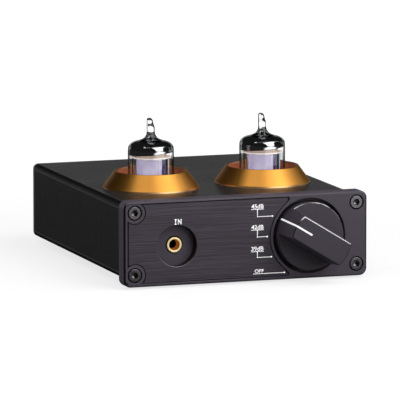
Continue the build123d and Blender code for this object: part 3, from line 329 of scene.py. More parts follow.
def moulded(name, colour, rough, grain=0.004, size=2600, sheen=0.45):
    """Moulded plastic with a fine spark-eroded grain."""
    finish = Finish(name)
    grit = finish.noise(size=size, detail=3.0, rough=0.55)
    cloud = finish.noise(size=120, detail=2.0)
    shade = finish.speckle(cloud, toned(colour, 0.9), toned(colour, 1.06))
    gloss = rough + (grit - 0.5) * 0.16
    return finish.skin(shade, gloss, normal=finish.bump(grit, grain), Specular_IOR_Level=sheen)


def ink_white():
    """Opaque white ink, a little uneven where the screen laid it on, with a painted glow that keeps it
    white on the shaded panel.
    """
    finish = Finish("print_white")
    grit = finish.noise(size=3800, detail=2.0)
    return finish.skin(
        finish.speckle(grit, rgb(0.84, 0.84, 0.85), rgb(0.93, 0.93, 0.93)),
        0.5,
        normal=finish.bump(grit, 0.001),
        Emission_Color=rgb(1, 1, 1),
        Emission_Strength=0.50,
    )


def brushed_inlay():
    """Plate brushed from side to side, in long and in short strokes."""
    finish = Finish("inlay_brushed")
    long = finish.noise(scale=(20, 20, 3700), detail=3.0, rough=0.6)
    short = finish.noise(scale=(90, 90, 7000), detail=4.0, rough=0.65)
    streak = long * 0.5 + short * 0.5
    shade = finish.ramp(
        streak,
        (0.34, rgb(0.026, 0.0215, 0.029)),
        (0.46, rgb(0.057, 0.047, 0.063)),
        (0.54, rgb(0.076, 0.064, 0.083)),
        (0.66, rgb(0.125, 0.107, 0.135)),
    )
    gloss = 0.42 + (short - 0.5) * 0.25
    return finish.skin(shade, gloss, 0.0, finish.bump(streak, 0.010), Specular_IOR_Level=0.35)


def clear_glass():
    """Clear glass, with painted shade, a dark tint, where the eye meets the envelope's wall edge on.

    The two valves stand equally far to each side, so one distance from an axis serves both.
    """
    finish = Finish("tube_glass")
    ripple = finish.noise(size=55, detail=1.0)
    aside = finish.axis("X").size() - TUBE_X["right"]
    along = finish.axis("Y") - TUBE_Y
    radius = (aside * aside + along * along) ** 0.5
    limb = finish.node("ShaderNodeLayerWeight", None, {"Blend": 0.5}, out="Facing")
    # painted shade: a dark tint where the wall is seen edge on, standing in for the dark edges that
    # refraction gives
    painted_limb_shade = limb.ease(0.50, 0.68) * (radius > INNER_R + 0.3)
    tint = finish.blend(painted_limb_shade, rgb(0.985, 0.995, 0.99), rgb(0.006, 0.006, 0.007))
    return finish.skin(
        tint,
        0.008,
        normal=finish.bump(ripple, 0.05, 0.15),
        IOR=1.47,
        Transmission_Weight=1.0,
    )


def getter_mirror(rim_middle):
    """The dark mirror that the getter leaves inside a valve, thin and brown at its rim.

    The rim leans up to one side of its middle, and wanders.
    """
    finish = Finish("getter_mirror")
    height = finish.axis("Z", rim_middle)
    wander = finish.noise(size=140, detail=2.0)
    above_rim = height - finish.axis("X", rim_middle) * 0.085 + (wander - 0.5) * 0.5
    shade = finish.blend(above_rim.ease(0.0, 0.35), rgb(0.05, 0.025, 0.012), rgb(0.46, 0.47, 0.49))
    return finish.skin(shade, 0.0, 1.0, Alpha=above_rim.ease(-0.08, 0.12))


def mica_sheet():
    """Flaky mica, milky on its broad sides and brown at its cut edge, with a painted glow that stands in
    for light bouncing inside the valve.
    """
    finish = Finish("mica")
    flake = finish.noise(size=420, detail=4.0, rough=0.6)
    broad = finish.upward().size() > 0.7
    cut = finish.blend(flake.ease(0.35, 0.65), rgb(0.78, 0.56, 0.42), rgb(0.90, 0.76, 0.64))
    return finish.skin(
        finish.blend(broad, rgb(0.97, 0.95, 0.92), cut),
        0.32 + flake * 0.1,
        normal=finish.bump(flake, 0.01),
        # painted glow, standing in for light that bounces inside the valve
        Emission_Color=finish.blend(broad, rgb(1.0, 0.98, 0.95), rgb(0.62, 0.42, 0.32)),
        Emission_Strength=0.45,
    )


def board_green():
    """Solder mask over copper: patches of thin tracks show lighter and raised."""
    finish = Finish("board_green")
    tracks = finish.node(
        "ShaderNodeTexBrick",
        {"offset": 0.5, "squash": 1.0},
        {
            "Vector": finish.place((1000, 1000, 1000)),
            "Scale": 0.55,
            "Mortar Size": 0.14,
            "Mortar Smooth": 0.3,
            "Brick Width": 3.1,
            "Row Height": 0.9,
            "Color1": rgb(0, 0, 0),
            "Color2": rgb(0, 0, 0),
            "Mortar": rgb(1, 1, 1),
        },
        out="Fac",
    )
    copper = tracks * finish.noise(size=70, detail=1.0).ease(0.46, 0.5)
    shade = finish.blend(copper, rgb(0.008, 0.070, 0.030), rgb(0.028, 0.150, 0.060))
    return finish.skin(shade, 0.28, normal=finish.bump(copper, 0.035), Coat_Weight=0.25)


def can_sleeve():
    """Plastic sleeve of an electrolytic can, with its bare metal end."""
    finish = Finish("capacitor_sleeve")
    end = finish.upward() > 0.95
    grit = finish.noise(size=900, detail=2.0)
    shade = finish.blend(end, rgb(0.012, 0.014, 0.03), rgb(0.75, 0.75, 0.76))
    return finish.skin(shade, 0.33 + grit * 0.08, end, finish.bump(grit, 0.004))


def black_extrusion():
    """Black anodised heat sink, with the faint lines that its die drew."""
    finish = Finish("sink_black")
    lines = finish.noise(scale=(1, 1, 1600), detail=2.0)
    shade = finish.blend(lines, rgb(0.010, 0.010, 0.011), rgb(0.022, 0.022, 0.024))
    return finish.skin(shade, 0.48, 0.2, finish.bump(lines, 0.004))


def blued_sheet():
    """Edge strips of an anode painted blue and violet: painted glints that stand in for light refracted
    through the glass.
    """
    finish = Finish("blued_sheet")
    glint_pattern = finish.noise(scale=(1, 1, 0.6), size=330, detail=2.0)
    shade = finish.ramp(
        glint_pattern,
        (0.34, rgb(0.012, 0.010, 0.075)),
        (0.48, rgb(0.10, 0.055, 0.34)),
        (0.56, rgb(0.012, 0.012, 0.06)),
        (0.68, rgb(0.34, 0.30, 0.62)),
    )
    return finish.skin(shade, 0.3, 0.4, Coat_Weight=0.4)


def dark_strip():
    """Blackened nickel strip with painted green glints that stand in for light seen through the glass.
    """
    finish = Finish("dark_strip")
    green_glint = finish.noise(size=700, detail=3.0)
    shade = finish.blend(green_glint.ease(0.4, 0.6), rgb(0.006, 0.018, 0.012), rgb(0.035, 0.11, 0.07))
    return finish.skin(shade, 0.3, 0.5, finish.bump(green_glint, 0.003))


def anode_sheet():
    """Pale oxidised sheet of an anode, with a painted glow that stands in for light that the micas throw
    back.
    """
    finish = Finish("anode_grey")
    cloud = finish.noise(size=300, detail=3.0)
    grit = finish.noise(size=3000, detail=3.0)
    return finish.skin(
        finish.speckle(cloud, rgb(0.70, 0.68, 0.98), rgb(0.80, 0.78, 1.0)),
        0.45 + grit * 0.1,
        normal=finish.bump(grit, 0.003),
        Emission_Color=rgb(0.62, 0.60, 0.90),
        Emission_Strength=0.22,
    )


def jack_gilding():
    """Bright flash gilding of the jack's nose, with a painted glow that stands in for light in its
    mouth.
    """
    finish = Finish("jack_gold")
    scratch = finish.noise(size=2600, detail=4.0, rough=0.65)
    return finish.skin(
        finish.speckle(scratch, rgb(0.94, 0.74, 0.38), rgb(1.0, 0.82, 0.46)),
        0.28 + (scratch - 0.5) * 0.08,
        0.4,
        finish.bump(scratch, 0.001),
        Emission_Color=rgb(1.0, 0.80, 0.42),
        Emission_Strength=0.40,
    )


def lit_bore():
    """Gilded bore, painted a deeper orange than the nose as painted shade, with a painted orange glow
    that stands in for light bouncing in the mouth.
    """
    finish = Finish("gilded_bore")
    grit = finish.noise(size=900, detail=2.0)
    shade = finish.speckle(grit, rgb(0.50, 0.20, 0.055), rgb(0.62, 0.27, 0.08))
    return finish.skin(shade, 0.4, 0.6, Emission_Color=rgb(0.72, 0.25, 0.03), Emission_Strength=0.14)


FINISHES = {
    "case_black": satin_paint("case_black", (0.034, 0.0325, 0.034), 0.36, 0.08),
    "panel_black": satin_paint("panel_black", (0.094, 0.0785, 0.103), 0.42, 0.3),
    "inlay_brushed": brushed_inlay(),
    "screw_steel": plain_metal("screw_steel", (0.22, 0.207, 0.222), 0.36),
    "screw_black": plain_metal("screw_black", (0.062, 0.056, 0.062), 0.42),
    "foot_rubber": moulded("foot_rubber", (0.014, 0.014, 0.014), 0.78, 0.02, 1500, 0.3),
    "ring_gold": turned_metal("ring_gold", (0.86, 0.50, 0.13), 0.27, (0, 0, 34)),
    "nut_brass": turned_metal("nut_brass", (0.78, 0.56, 0.22), 0.3, (0, 0, 30), 0.3),
    "socket_ceramic": moulded("socket_ceramic", (0.76, 0.73, 0.66), 0.35, 0.01, 1400, 0.5),
    "contact_metal": plain_metal("contact_metal", (0.84, 0.70, 0.38), 0.24),
    "knob_black": satin_paint("knob_black", (0.073, 0.061, 0.080), 0.38, 0.3, 0.0025, 7000),
    "print_white": ink_white(),
    "switch_metal": plain_metal("switch_metal", (0.62, 0.62, 0.60), 0.34),
    "switch_plastic": moulded("switch_plastic", (0.03, 0.05, 0.12), 0.42),
    "wafer_brown": moulded("wafer_brown", (0.20, 0.095, 0.035), 0.5),
    "insulator_white": moulded("insulator_white", (0.80, 0.79, 0.76), 0.4),
    "insulator_red": moulded("insulator_red", (0.52, 0.018, 0.014), 0.38),
    "board_green": board_green(),
    "capacitor_sleeve": can_sleeve(),
    "film_red": moulded("film_red", (0.42, 0.045, 0.018), 0.26, 0.01, 700, 0.6),
    "chip_black": moulded("chip_black", (0.016, 0.016, 0.017), 0.52),
    "sink_black": black_extrusion(),
    "tube_glass": clear_glass(),
    "pin_metal": plain_metal("pin_metal", (0.70, 0.69, 0.66), 0.25),
    "mica": mica_sheet(),
    "anode_grey": anode_sheet(),
}
# Near-black painted shade for the panel's chamfer, the dish's wall and the inlay's broken edges
PAINTED_EDGE_SHADE = satin_paint("edge_black", (0.007, 0.006, 0.0075), 0.30, 0.35)
CUT_BRIGHT = plain_metal("edge_bright", (0.70, 0.69, 0.70), 0.15, 0.001)
DISH_EDGE = plain_metal("dish_edge", (0.24, 0.22, 0.245), 0.4, 0.001)
DRILLED = plain_metal("drilled_steel", (0.26, 0.25, 0.26), 0.3, 0.001)
# Paler gold for the rings' foot rim and lip: painted highlight
RING_HIGHLIGHT = plain_metal("ring_cut", (0.92, 0.55, 0.25), 0.40)

SLOTS = {name: node.data.materials[0].name for name, node in NODES.items()}
for name, slot in SLOTS.items():
    NODES[name].material_slots[0].material = FINISHES[slot].material


# --------------------------------------------------------------------- mesh helpers
def keep(bm, name, slot, body="chassis", finish=None, extra=(), weighted=True):
    """Turns a finished bmesh into a piece that rides on a body.

    Its faces wear the finish, or the slot's, and those of a higher material index the extra ones.
    """
    mesh = bpy.data.meshes.new(name)
    bm.to_mesh(mesh)
    bm.free()
    mesh.shade_smooth()
    for coat in (finish or FINISHES[slot], *extra):
        mesh.materials.append(coat.material)
    piece = bpy.data.objects.new(name, mesh)
    SCENE.collection.objects.link(piece)
    if weighted:
        evened = piece.modifiers.new("evened_normals", "WEIGHTED_NORMAL")
        evened.mode, evened.weight, evened.keep_sharp = "FACE_AREA", 60, True
    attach(piece, body)
    return piece


def put_for(node, bm, name, finish=None, extra=(), weighted=True):
    """Turns a finished bmesh into the piece that stands for a node, on the node's body."""
    piece = keep(bm, name, SLOTS[node], NODES[node]["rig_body"], finish, extra, weighted)
    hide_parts(node)
    return piece


def bevel(bm, edges, width, segments=1, material=-1):
    """Bevels edges. The new faces take a material index, or that of their neighbours."""
    bmesh.ops.bevel(
        bm,
        geom=edges,
        offset=width * MM,
        offset_type="OFFSET",
        affect="EDGES",
        segments=segments,
        profile=0.5,
        material=material,
    )


def soften(bm, width, angle=28.0, segments=3, chosen=lambda edge: True):
    """Rounds the chosen edges that fold by more than angle degrees."""
    sharp = [
        edge
        for edge in bm.edges
        if edge.is_manifold and edge.calc_face_angle(0) > radians(angle) and chosen(edge)
    ]
    bevel(bm, sharp, width, segments)


def merged_copy(node):
    """A node's mesh as a bmesh with joined corners and whole flat faces."""
    mesh = NODES[node].data.copy()
    if "custom_normal" in mesh.attributes:
        mesh.attributes.remove(mesh.attributes["custom_normal"])
    bm = bmesh.new()
    bm.from_mesh(mesh)
    bpy.data.meshes.remove(mesh)
    bmesh.ops.remove_doubles(bm, verts=bm.verts, dist=0.002 * MM)
    bmesh.ops.dissolve_limit(bm, angle_limit=radians(0.4), verts=bm.verts, edges=bm.edges)
    return bm


def joined(parts):
    """One bmesh made of several, which it uses up."""
    whole = bmesh.new()
    for part in parts:
        mesh = bpy.data.meshes.new("part")
        part.to_mesh(mesh)
        part.free()
        whole.from_mesh(mesh)
        bpy.data.meshes.remove(mesh)
    return whole


def shift(bm, x=0.0, y=0.0, z=0.0, turn=None):
    """Turns a bmesh about the origin, then moves it."""
    matrix = Matrix.Translation((x * MM, y * MM, z * MM))
    if turn is not None:
        matrix = matrix @ turn
    bmesh.ops.transform(bm, matrix=matrix, verts=bm.verts)


def thicken(bm, height):
    """Makes a flat face or sheet a plate of some height."""
    raised = bmesh.ops.extrude_face_region(bm, geom=bm.faces[:])
    lifted = [part for part in raised["geom"] if isinstance(part, bmesh.types.BMVert)]
    bmesh.ops.translate(bm, vec=(0, 0, height * MM), verts=lifted)
    bmesh.ops.recalc_face_normals(bm, faces=bm.faces)


def lathed(profile, steps=96, closed=False):
    """Spins a profile of (radius, height) points round the Z axis."""
    bm = bmesh.new()
    corners = [bm.verts.new((radius * MM, 0, height * MM)) for radius, height in profile]
    lines = [bm.edges.new(pair) for pair in zip(corners, corners[1:])]
    if closed:
        lines.append(bm.edges.new((corners[-1], corners[0])))
    bmesh.ops.spin(
        bm,
        geom=corners + lines,
        cent=(0, 0, 0),
        axis=(0, 0, 1),
        angle=2 * pi,
        steps=steps,
        use_merge=True,
    )
    bmesh.ops.remove_doubles(bm, verts=bm.verts, dist=0.0005 * MM)
    bmesh.ops.recalc_face_normals(bm, faces=bm.faces)
    return bm


def radius_of(face):
    """How far out from the Z axis the middle of a face lies, in millimetres."""
    centre = face.calc_center_median()
    return hypot(centre.x, centre.y) / MM


# Turns what was made lying flat so that its top faces the front
FACING_FRONT = Matrix.Rotation(pi / 2, 4, "X")


# --------------------------------------------------------------- case, panels, inlay
def is_slanted(face):
    """True for a narrow face between a front and a side."""
    return 0.2 < abs(face.normal.y) < 0.95


def is_near(corner, y):
    """True for a corner at a depth y, in millimetres."""
    return abs(corner.co.y / MM - y) < 0.02


def is_left_end(edge):
    """True for an edge of the inlay's left end."""
    left_of = -49.0
    return max(corner.co.x for corner in edge.verts) / MM < left_of


def is_round_jack(part):
    """True for an edge or a face on the wall of the round dish."""
    away = [hypot(corner.co.x / MM - JACK_X, corner.co.z / MM - JACK_Z) for corner in part.verts]
    return all(abs(distance - DISH_R) < 0.1 for distance in away)


def is_plain_cut(edge):
    """True for every other edge of the inlay."""
    return not is_left_end(edge) and not is_round_jack(edge)


def dress_sleeve():
    """The extrusion of the case, in its own worn paint."""
    bm = merged_copy("case_sleeve")
    soften(bm, 0.12)
    put_for("case_sleeve", bm, "case_shell", sleeve_paint())


def dress_panel():
    """The thick front plate, with its chamfer and the dish's wall painted near black as painted shade.
    """
    chamfer_reach, chamfer_y = PANEL_HALF - 0.75, PANEL_FRONT + 1.0
    bm = merged_copy("front_panel")
    for face in bm.faces:
        reach = max(abs(corner.co.x) for corner in face.verts) / MM
        in_front = face.calc_center_median().y / MM < chamfer_y
        chamfer = is_slanted(face) and reach > chamfer_reach and in_front
        dish_wall = is_round_jack(face) and abs(face.normal.y) < 0.1
        if chamfer or dish_wall:
            face.material_index = 1
    soften(bm, 0.14)
    put_for("front_panel", bm, "panel_plate", extra=(PAINTED_EDGE_SHADE,))


def dress_inlay():
    """The brushed plate, its front edge broken: in grey round the dish, and elsewhere in near black,
    painted shade of the gap round the plate.
    """
    bm = merged_copy("front_inlay")
    cuts = (
        # width and material index of the broken edge, and the edges that have it
        (0.30, 1, is_left_end),
        (0.24, 2, is_round_jack),
        (0.14, 1, is_plain_cut),
    )
    for width, material, belongs in cuts:
        outline = [
            edge
            for edge in bm.edges
            if edge.calc_face_angle(0) > radians(60)
            and all(is_near(corner, INLAY_FRONT) for corner in edge.verts)
            and belongs(edge)
        ]
        bevel(bm, outline, width, segments=2, material=material)
    put_for("front_inlay", bm, "inlay_plate", extra=(PAINTED_EDGE_SHADE, DISH_EDGE))


def dress_screws(node, name, socket_y, width, cone, dip):
    """Socket screws, with the drill's bright cone at the bottom of each socket.

    The cone begins at a distance from the socket's wall, and dips below its floor.
    """
    bm = merged_copy(node)
    floors = [
        face
        for face in bm.faces
        if abs(face.normal.y) > 0.99 and all(is_near(corner, socket_y) for corner in face.verts)
    ]
    cut = bmesh.ops.inset_individual(
        bm, faces=floors, thickness=cone * MM, depth=-dip * MM, use_even_offset=True
    )
    for face in cut["faces"]:
        face.material_index = 1
    soften(bm, width)
    put_for(node, bm, name, extra=(DRILLED,))


def dress_knob():
    """The bar knob, with bright cut edges round its disc and up the corners of its bar."""
    disc_y, chamfer_y = PANEL_FRONT - 2.7, lowest_of("knob")[Y] + 0.3
    disc_r = highest_of("knob")[X] - KNOB_X
    longest_facet, corner_rise = 3.0, 0.5
    side_x, side_z = cos(radians(BAR_ANGLE - 90)), sin(radians(BAR_ANGLE - 90))
    bm = merged_copy("knob")
    for face in bm.faces:
        if is_slanted(face) and all(corner.co.y / MM < chamfer_y + 0.02 for corner in face.verts):
            face.material_index = 1
    cut = []
    for edge in bm.edges:
        ends = [end.co / MM for end in edge.verts]
        places = [(end.x - KNOB_X, end.y, end.z - KNOB_Z) for end in ends]
        out = [hypot(x, z) for x, y, z in places]
        aside = [abs(x * side_x + z * side_z) for x, y, z in places]
        short = edge.calc_length() < longest_facet * MM
        rim = short and all(is_near(end, disc_y) for end in edge.verts) and min(out) > disc_r - 0.05
        between = all(chamfer_y - 0.02 < y < disc_y + 0.02 for x, y, z in places)
        rising = abs(places[0][Y] - places[1][Y]) > corner_rise
        corner = between and rising and min(aside) > BAR_TOP_HALF - 0.5
        if (rim or corner) and edge.calc_face_angle(0) > radians(28):
            cut.append(edge)
    bevel(bm, cut, 0.16, material=1)
    soften(bm, 0.08, chosen=lambda edge: all(face.material_index == 0 for face in edge.link_faces))
    piece = put_for("knob", bm, "bar_knob", extra=(CUT_BRIGHT,))
    for face in piece.data.polygons:
        face.use_smooth = face.material_index == 0


def dress_pointer():
    """The white line of the knob, a little narrower than its slot, which is black beside it."""
    beside_line = 0.14
    bm = merged_copy("knob_pointer")
    seen = []
    for face in bm.faces:
        centre = face.calc_center_median()
        outward = Vector((centre.x - KNOB_X * MM, 0, centre.z - KNOB_Z * MM)).normalized()
        if face.normal.y < -0.5 or face.normal.dot(outward) > 0.5:
            seen.append(face)
    bmesh.ops.inset_region(bm, faces=seen, thickness=beside_line * MM, depth=0.0, use_even_offset=True)
    for face in bm.faces:
        face.material_index = 0 if face in seen else 1
    black = FINISHES["knob_black"]
    piece = put_for("knob_pointer", bm, "pointer_line", extra=(black,), weighted=False)
    for face in piece.data.polygons:
        face.use_smooth = False


# Floors of the screws' hex sockets, below the faces of their heads
FRONT_SOCKET_Y = lowest_of("front_screws")[Y] + 1.8
REAR_SOCKET_Y = highest_of("rear_screws")[Y] - 0.6

for node, name in (("rear_panel", "rear_plate"), ("rubber_feet", "feet")):
    rounded = merged_copy(node)
    soften(rounded, 0.15)
    put_for(node, rounded, name)
dress_sleeve()
dress_panel()
dress_inlay()
dress_screws("front_screws", "panel_screws", FRONT_SOCKET_Y, width=0.10, cone=1.05, dip=0.55)
dress_screws("rear_screws", "rear_plate_screws", REAR_SOCKET_Y, width=0.08, cone=0.5, dip=0.3)
dress_knob()
dress_pointer()


# -------------------------------------------------------------------------- valves
# The envelope's rounded heel, the hollow's floor from its middle to the wall, and the getter's
# mirror: how deep it lies in the glass, its lowest point, and the middle height of its rim
HEEL_R = 1.4
HOLLOW_FLOOR = [(0, 27.6), (7.9, 27.6), (8.5, 27.9), (INNER_R, 28.6)]
MIRROR_SKIN, MIRROR_LOW, MIRROR_RIM = 0.06, 46.5, 48.3
# The micas, notched to a share of their radius, and the anode between them
MICA_HEIGHTS, MICA_R, MICA_T, MICA_NOTCH = (30.05, 46.4), 8.3, 0.45, 0.94
ANODE_X, ANODE_Y, ANODE_CORNER_R = 10.0, 7.0, 1.6
ANODE_LOW, ANODE_HIGH = MICA_HEIGHTS[0] + MICA_T + 0.1, MICA_HEIGHTS[1] - 0.1
MICA_HOLES = (
    # place across the plate and radius: two support rods, two grid rods and the cathode
    (-6.4, 0.52), (6.4, 0.52), (-2.2, 0.4), (2.2, 0.4), (0, 0.85),
)
# the strips of material index 1 and 2 carry painted blue and green glints, light seen through the glass
STRIPS = (
    # crimped seams of the anode, then the lead strips beside it: x, y, width, depth, material index
    (-5.6, 0.0, 1.4, 0.5, 0), (5.6, 0.0, 1.4, 0.5, 1),
    (4.1, -3.5, 0.95, 0.4, 1), (6.0, -2.6, 0.9, 0.4, 2), (7.1, -1.6, 0.4, 0.4, 0),
    (7.6, -0.6, 0.5, 0.3, 1), (-7.2, 2.2, 0.5, 0.5, 2),
)


def arc(centre_r, centre_h, radius, start, end, steps):
    """Points of an arc on a profile, from start to end degrees."""
    turns = [radians(start + (end - start) * n / steps) for n in range(steps + 1)]
    return [(centre_r + radius * cos(t), centre_h + radius * sin(t)) for t in turns]


def bezier(first, pull_first, pull_last, last, steps):
    """Points of a profile's curve, from first to last, bent by the two pulls."""
    points = []
    for n in range(steps + 1):
        t = n / steps
        s = 1 - t
        weights = (s**3, 3 * s * s * t, 3 * s * t * t, t**3)
        four = (first, pull_first, pull_last, last)
        points.append(tuple(sum(w * p[axis] for w, p in zip(weights, four)) for axis in (0, 1)))
    return points


def outer_wall():
    """Profile of the envelope's outside, from the middle of its seat to the end of its tip."""
    heel = arc(GLASS_R - HEEL_R, SEAT_Z + HEEL_R, HEEL_R, -90, 0, 6)
    side = [(GLASS_R, SEAT_Z + HEEL_R + n * 2.0) for n in range(1, 12)]
    dome = bezier((GLASS_R, SHOULDER_Z), (GLASS_R, 51.6), (8.3, 52.5), (6.5, 53.0), 10)
    neck = bezier(dome[-1], (3.9, 53.7), (2.0, 54.3), (1.72, 56.6), 12)
    tip = [(1.64, 57.5), (1.70, 58.4), (1.60, 59.3), (1.42, 60.2), (1.34, 60.9)]
    cap = arc(0, 61.5, 1.28, 5, 90, 7)
    return [(0, SEAT_Z)] + heel + side + dome + neck[1:] + tip + cap


def inner_dome(outset=0.0):
    """Profile of the hollow's ceiling, up to its middle. The mirror lies outset from it."""
    wall = INNER_R + outset
    shoulder = (6.2, 52.35 + outset)
    dome = bezier((wall, SHOULDER_Z), (wall, 51.2 + outset), (7.8, 51.9 + outset), shoulder, 10)
    vault = bezier(shoulder, (3.6, 53.0 + outset), (1.0, 53.6 + outset), (0, 55.4 + outset), 10)
    return dome + vault[1:]


def bend_tip(bm):
    """Leans the drawn-off tip to one side, with small waves, as a hot tip settles."""
    neck_z = 56.0
    for corner in bm.verts:
        rise = corner.co.z / MM - neck_z
        if rise > 0:
            corner.co.x -= (0.016 * rise * rise + 0.05 * sin(rise * 1.9)) * MM
            corner.co.y += 0.06 * sin(rise * 1.4) * MM


def envelope_glass():
    """A closed glass wall: the outside, and the hollow turned inside out."""
    outside = lathed(outer_wall())
    bend_tip(outside)
    hollow = lathed(HOLLOW_FLOOR + inner_dome())
    bmesh.ops.reverse_faces(hollow, faces=hollow.faces)
    return joined([outside, hollow])


def mirror_film():
    """The film of the getter's mirror, over the hollow's ceiling and down its wall."""
    side = [(INNER_R + MIRROR_SKIN, MIRROR_LOW + n * 0.5) for n in range(6)]
    return lathed(side + inner_dome(MIRROR_SKIN))


def mica_plate():
    """A mica disc with sprung fingers round its edge and the holes of its rods."""
    bm = bmesh.new()
    bmesh.ops.create_circle(bm, cap_ends=False, segments=120, radius=MICA_R * MM)
    for number, corner in enumerate(bm.verts):
        if number % 10 in (3, 4, 5):
            corner.co *= MICA_NOTCH
    for hole_x, hole_r in MICA_HOLES:
        bmesh.ops.create_circle(
            bm,
            cap_ends=False,
            segments=20,
            radius=hole_r * MM,
            matrix=Matrix.Translation((hole_x * MM, 0, 0)),
        )
    bmesh.ops.triangle_fill(bm, use_beauty=True, use_dissolve=False, edges=bm.edges[:])
    thicken(bm, MICA_T)
    return bm


def mica_pair():
    """The two plates that hold the anode between them."""
    plates = []
    for mica_z in MICA_HEIGHTS:
        plate = mica_plate()
        shift(plate, z=mica_z)
        plates.append(plate)
    return joined(plates)


def pressed_anode():
    """The anode: a rounded box of sheet, with crimped seams at both ends and a pressed panel."""
    height = ANODE_HIGH - ANODE_LOW
    bm = bmesh.new()
    bmesh.ops.create_cube(bm, size=1.0)
    bmesh.ops.scale(bm, vec=(ANODE_X * MM, ANODE_Y * MM, height * MM), verts=bm.verts)
    upright = [e for e in bm.edges if abs(e.verts[0].co.z - e.verts[1].co.z) > height / 2 * MM]
    bevel(bm, upright, ANODE_CORNER_R, segments=5)
    broad = [f for f in bm.faces if abs(f.normal.y) > 0.99]
    for margin, dip in ((1.1, 0.0), (0.35, 0.3)):
        bmesh.ops.inset_individual(
            bm, faces=broad, thickness=margin * MM, depth=-dip * MM, use_even_offset=True
        )
    soften(bm, 0.12, angle=40)
    for x, y, width, depth, material in STRIPS:
        strip = bmesh.ops.create_cube(bm, size=1.0)
        stretch = Matrix.Diagonal((width * MM, depth * MM, (height - 0.2) * MM, 1))
        matrix = Matrix.Translation((x * MM, y * MM, 0)) @ stretch
        bmesh.ops.transform(bm, matrix=matrix, verts=strip["verts"])
        for face in {face for corner in strip["verts"] for face in corner.link_faces}:
            face.material_index = material
    shift(bm, z=(ANODE_LOW + ANODE_HIGH) / 2)
    return bm


BLUE_GLINT, DARK_GREEN_GLINT = blued_sheet(), dark_strip()
for hand, tube_x in TUBE_X.items():
    glass = envelope_glass()
    shift(glass, tube_x, TUBE_Y)
    envelope = put_for(f"tube_glass_{hand}", glass, f"glass_envelope_{hand}", weighted=False)
    envelope.visible_shadow = False

    mirror = mirror_film()
    shift(mirror, tube_x, TUBE_Y)
    coat = getter_mirror((tube_x, TUBE_Y, MIRROR_RIM))
    keep(mirror, f"getter_mirror_{hand}", "pin_metal", f"valve_{hand}", coat, weighted=False)

    plates = mica_pair()
    shift(plates, tube_x, TUBE_Y)
    put_for(f"tube_micas_{hand}", plates, f"mica_plates_{hand}", weighted=False)

    anode = pressed_anode()
    shift(anode, tube_x, TUBE_Y)
    put_for(f"tube_anode_{hand}", anode, f"pressed_anode_{hand}", extra=(BLUE_GLINT, DARK_GREEN_GLINT))


# --------------------------------------------------------------- ring of the input jack
JACK_BACK = highest_of("jack_ring")[Y]
JACK_PROFILE = (
    # from the bore's back round the barrel to the nose and down the mouth: radius and height
    (1.8, 0.0), (3.5, 0.0), (3.5, 0.6), (3.1, 0.8), (3.1, 3.2), (3.02, 3.4), (2.85, 3.5), (2.6, 3.5),
    (2.4, 3.42), (2.28, 3.2), (2.2, 2.4), (2.05, 0.9), (1.8, 0.8),
)
# The middles of the mouth's faces lie nearer the axis than the nose, and the barrel's further out
MOUTH_R, BARREL_R = 2.26, 3.08

barrel = lathed(JACK_PROFILE, closed=True)
for face in barrel.faces:
    if radius_of(face) < MOUTH_R:
        face.material_index = 1
    elif radius_of(face) > BARREL_R:
        face.material_index = 2
shift(barrel, JACK_X, JACK_BACK, JACK_Z, FACING_FRONT)
put_for("jack_ring", barrel, "input_ring", jack_gilding(), (lit_bore(), FINISHES["contact_metal"]))


# ------------------------------------------------------------------ gold trim rings
RING_PROFILE = (
    # outside from the foot up, over the lip, down the cup, across its floor to the bore
    (12.0, 34.0), (19.9, 34.0), (19.7, 34.6), (15.2, 40.75), (15.0, 41.0), (14.55, 41.0),
    (14.25, 40.8), (14.0, 40.3), (14.0, 35.4), (10.6, 35.4), (10.6, 28.8), (12.0, 28.8),
)
# Bounds of the faces' middles on the foot's rim, on the lip and in the cup, and the height above
# which edges are rounded
FOOT_R, FOOT_TOP, LIP_Z, CUP_R, CUP_Z = 19.72, 34.55, 40.95, 14.5, 35.3
LOWEST_ROUNDED = 34.7


def is_above_foot(edge):
    """True for an edge of a ring that lies high enough to be rounded."""
    return min(corner.co.z for corner in edge.verts) > LOWEST_ROUNDED * MM


for hand, tube_x in TUBE_X.items():
    ring = lathed(RING_PROFILE, steps=160, closed=True)
    soften(ring, 0.12, angle=14, segments=2, chosen=is_above_foot)
    for face in ring.faces:
        height, out = face.calc_center_median().z / MM, radius_of(face)
        foot = height < FOOT_TOP and out > FOOT_R
        # the foot's rim and the lip wear the paler gold, painted highlight
        if foot or height > LIP_Z:
            face.material_index = 1
        elif out < CUP_R and height > CUP_Z:
            face.material_index = 2
        if foot:
            for edge in face.edges:
                edge.smooth = edge.calc_face_angle(0) < radians(8)
    shift(ring, tube_x, TUBE_Y)
    centre = (tube_x, TUBE_Y, CASE_TOP)
    cone_gold = turned_metal(f"ring_gold_{hand}", (0.82, 0.37, 0.068), 0.41, centre, 0.1)
    # a paler, pinker gold inside the cup, painted light that stands in for the bright reflection there
    cup_gold = turned_metal(f"cup_gold_{hand}", (0.95, 0.52, 0.30), 0.5, centre, 0.1)
    put_for(f"tube_ring_{hand}", ring, f"trim_ring_{hand}", cone_gold, (RING_HIGHLIGHT, cup_gold))


# ------------------------------------------------------------------- printed legends
PRINT_T = 0.03


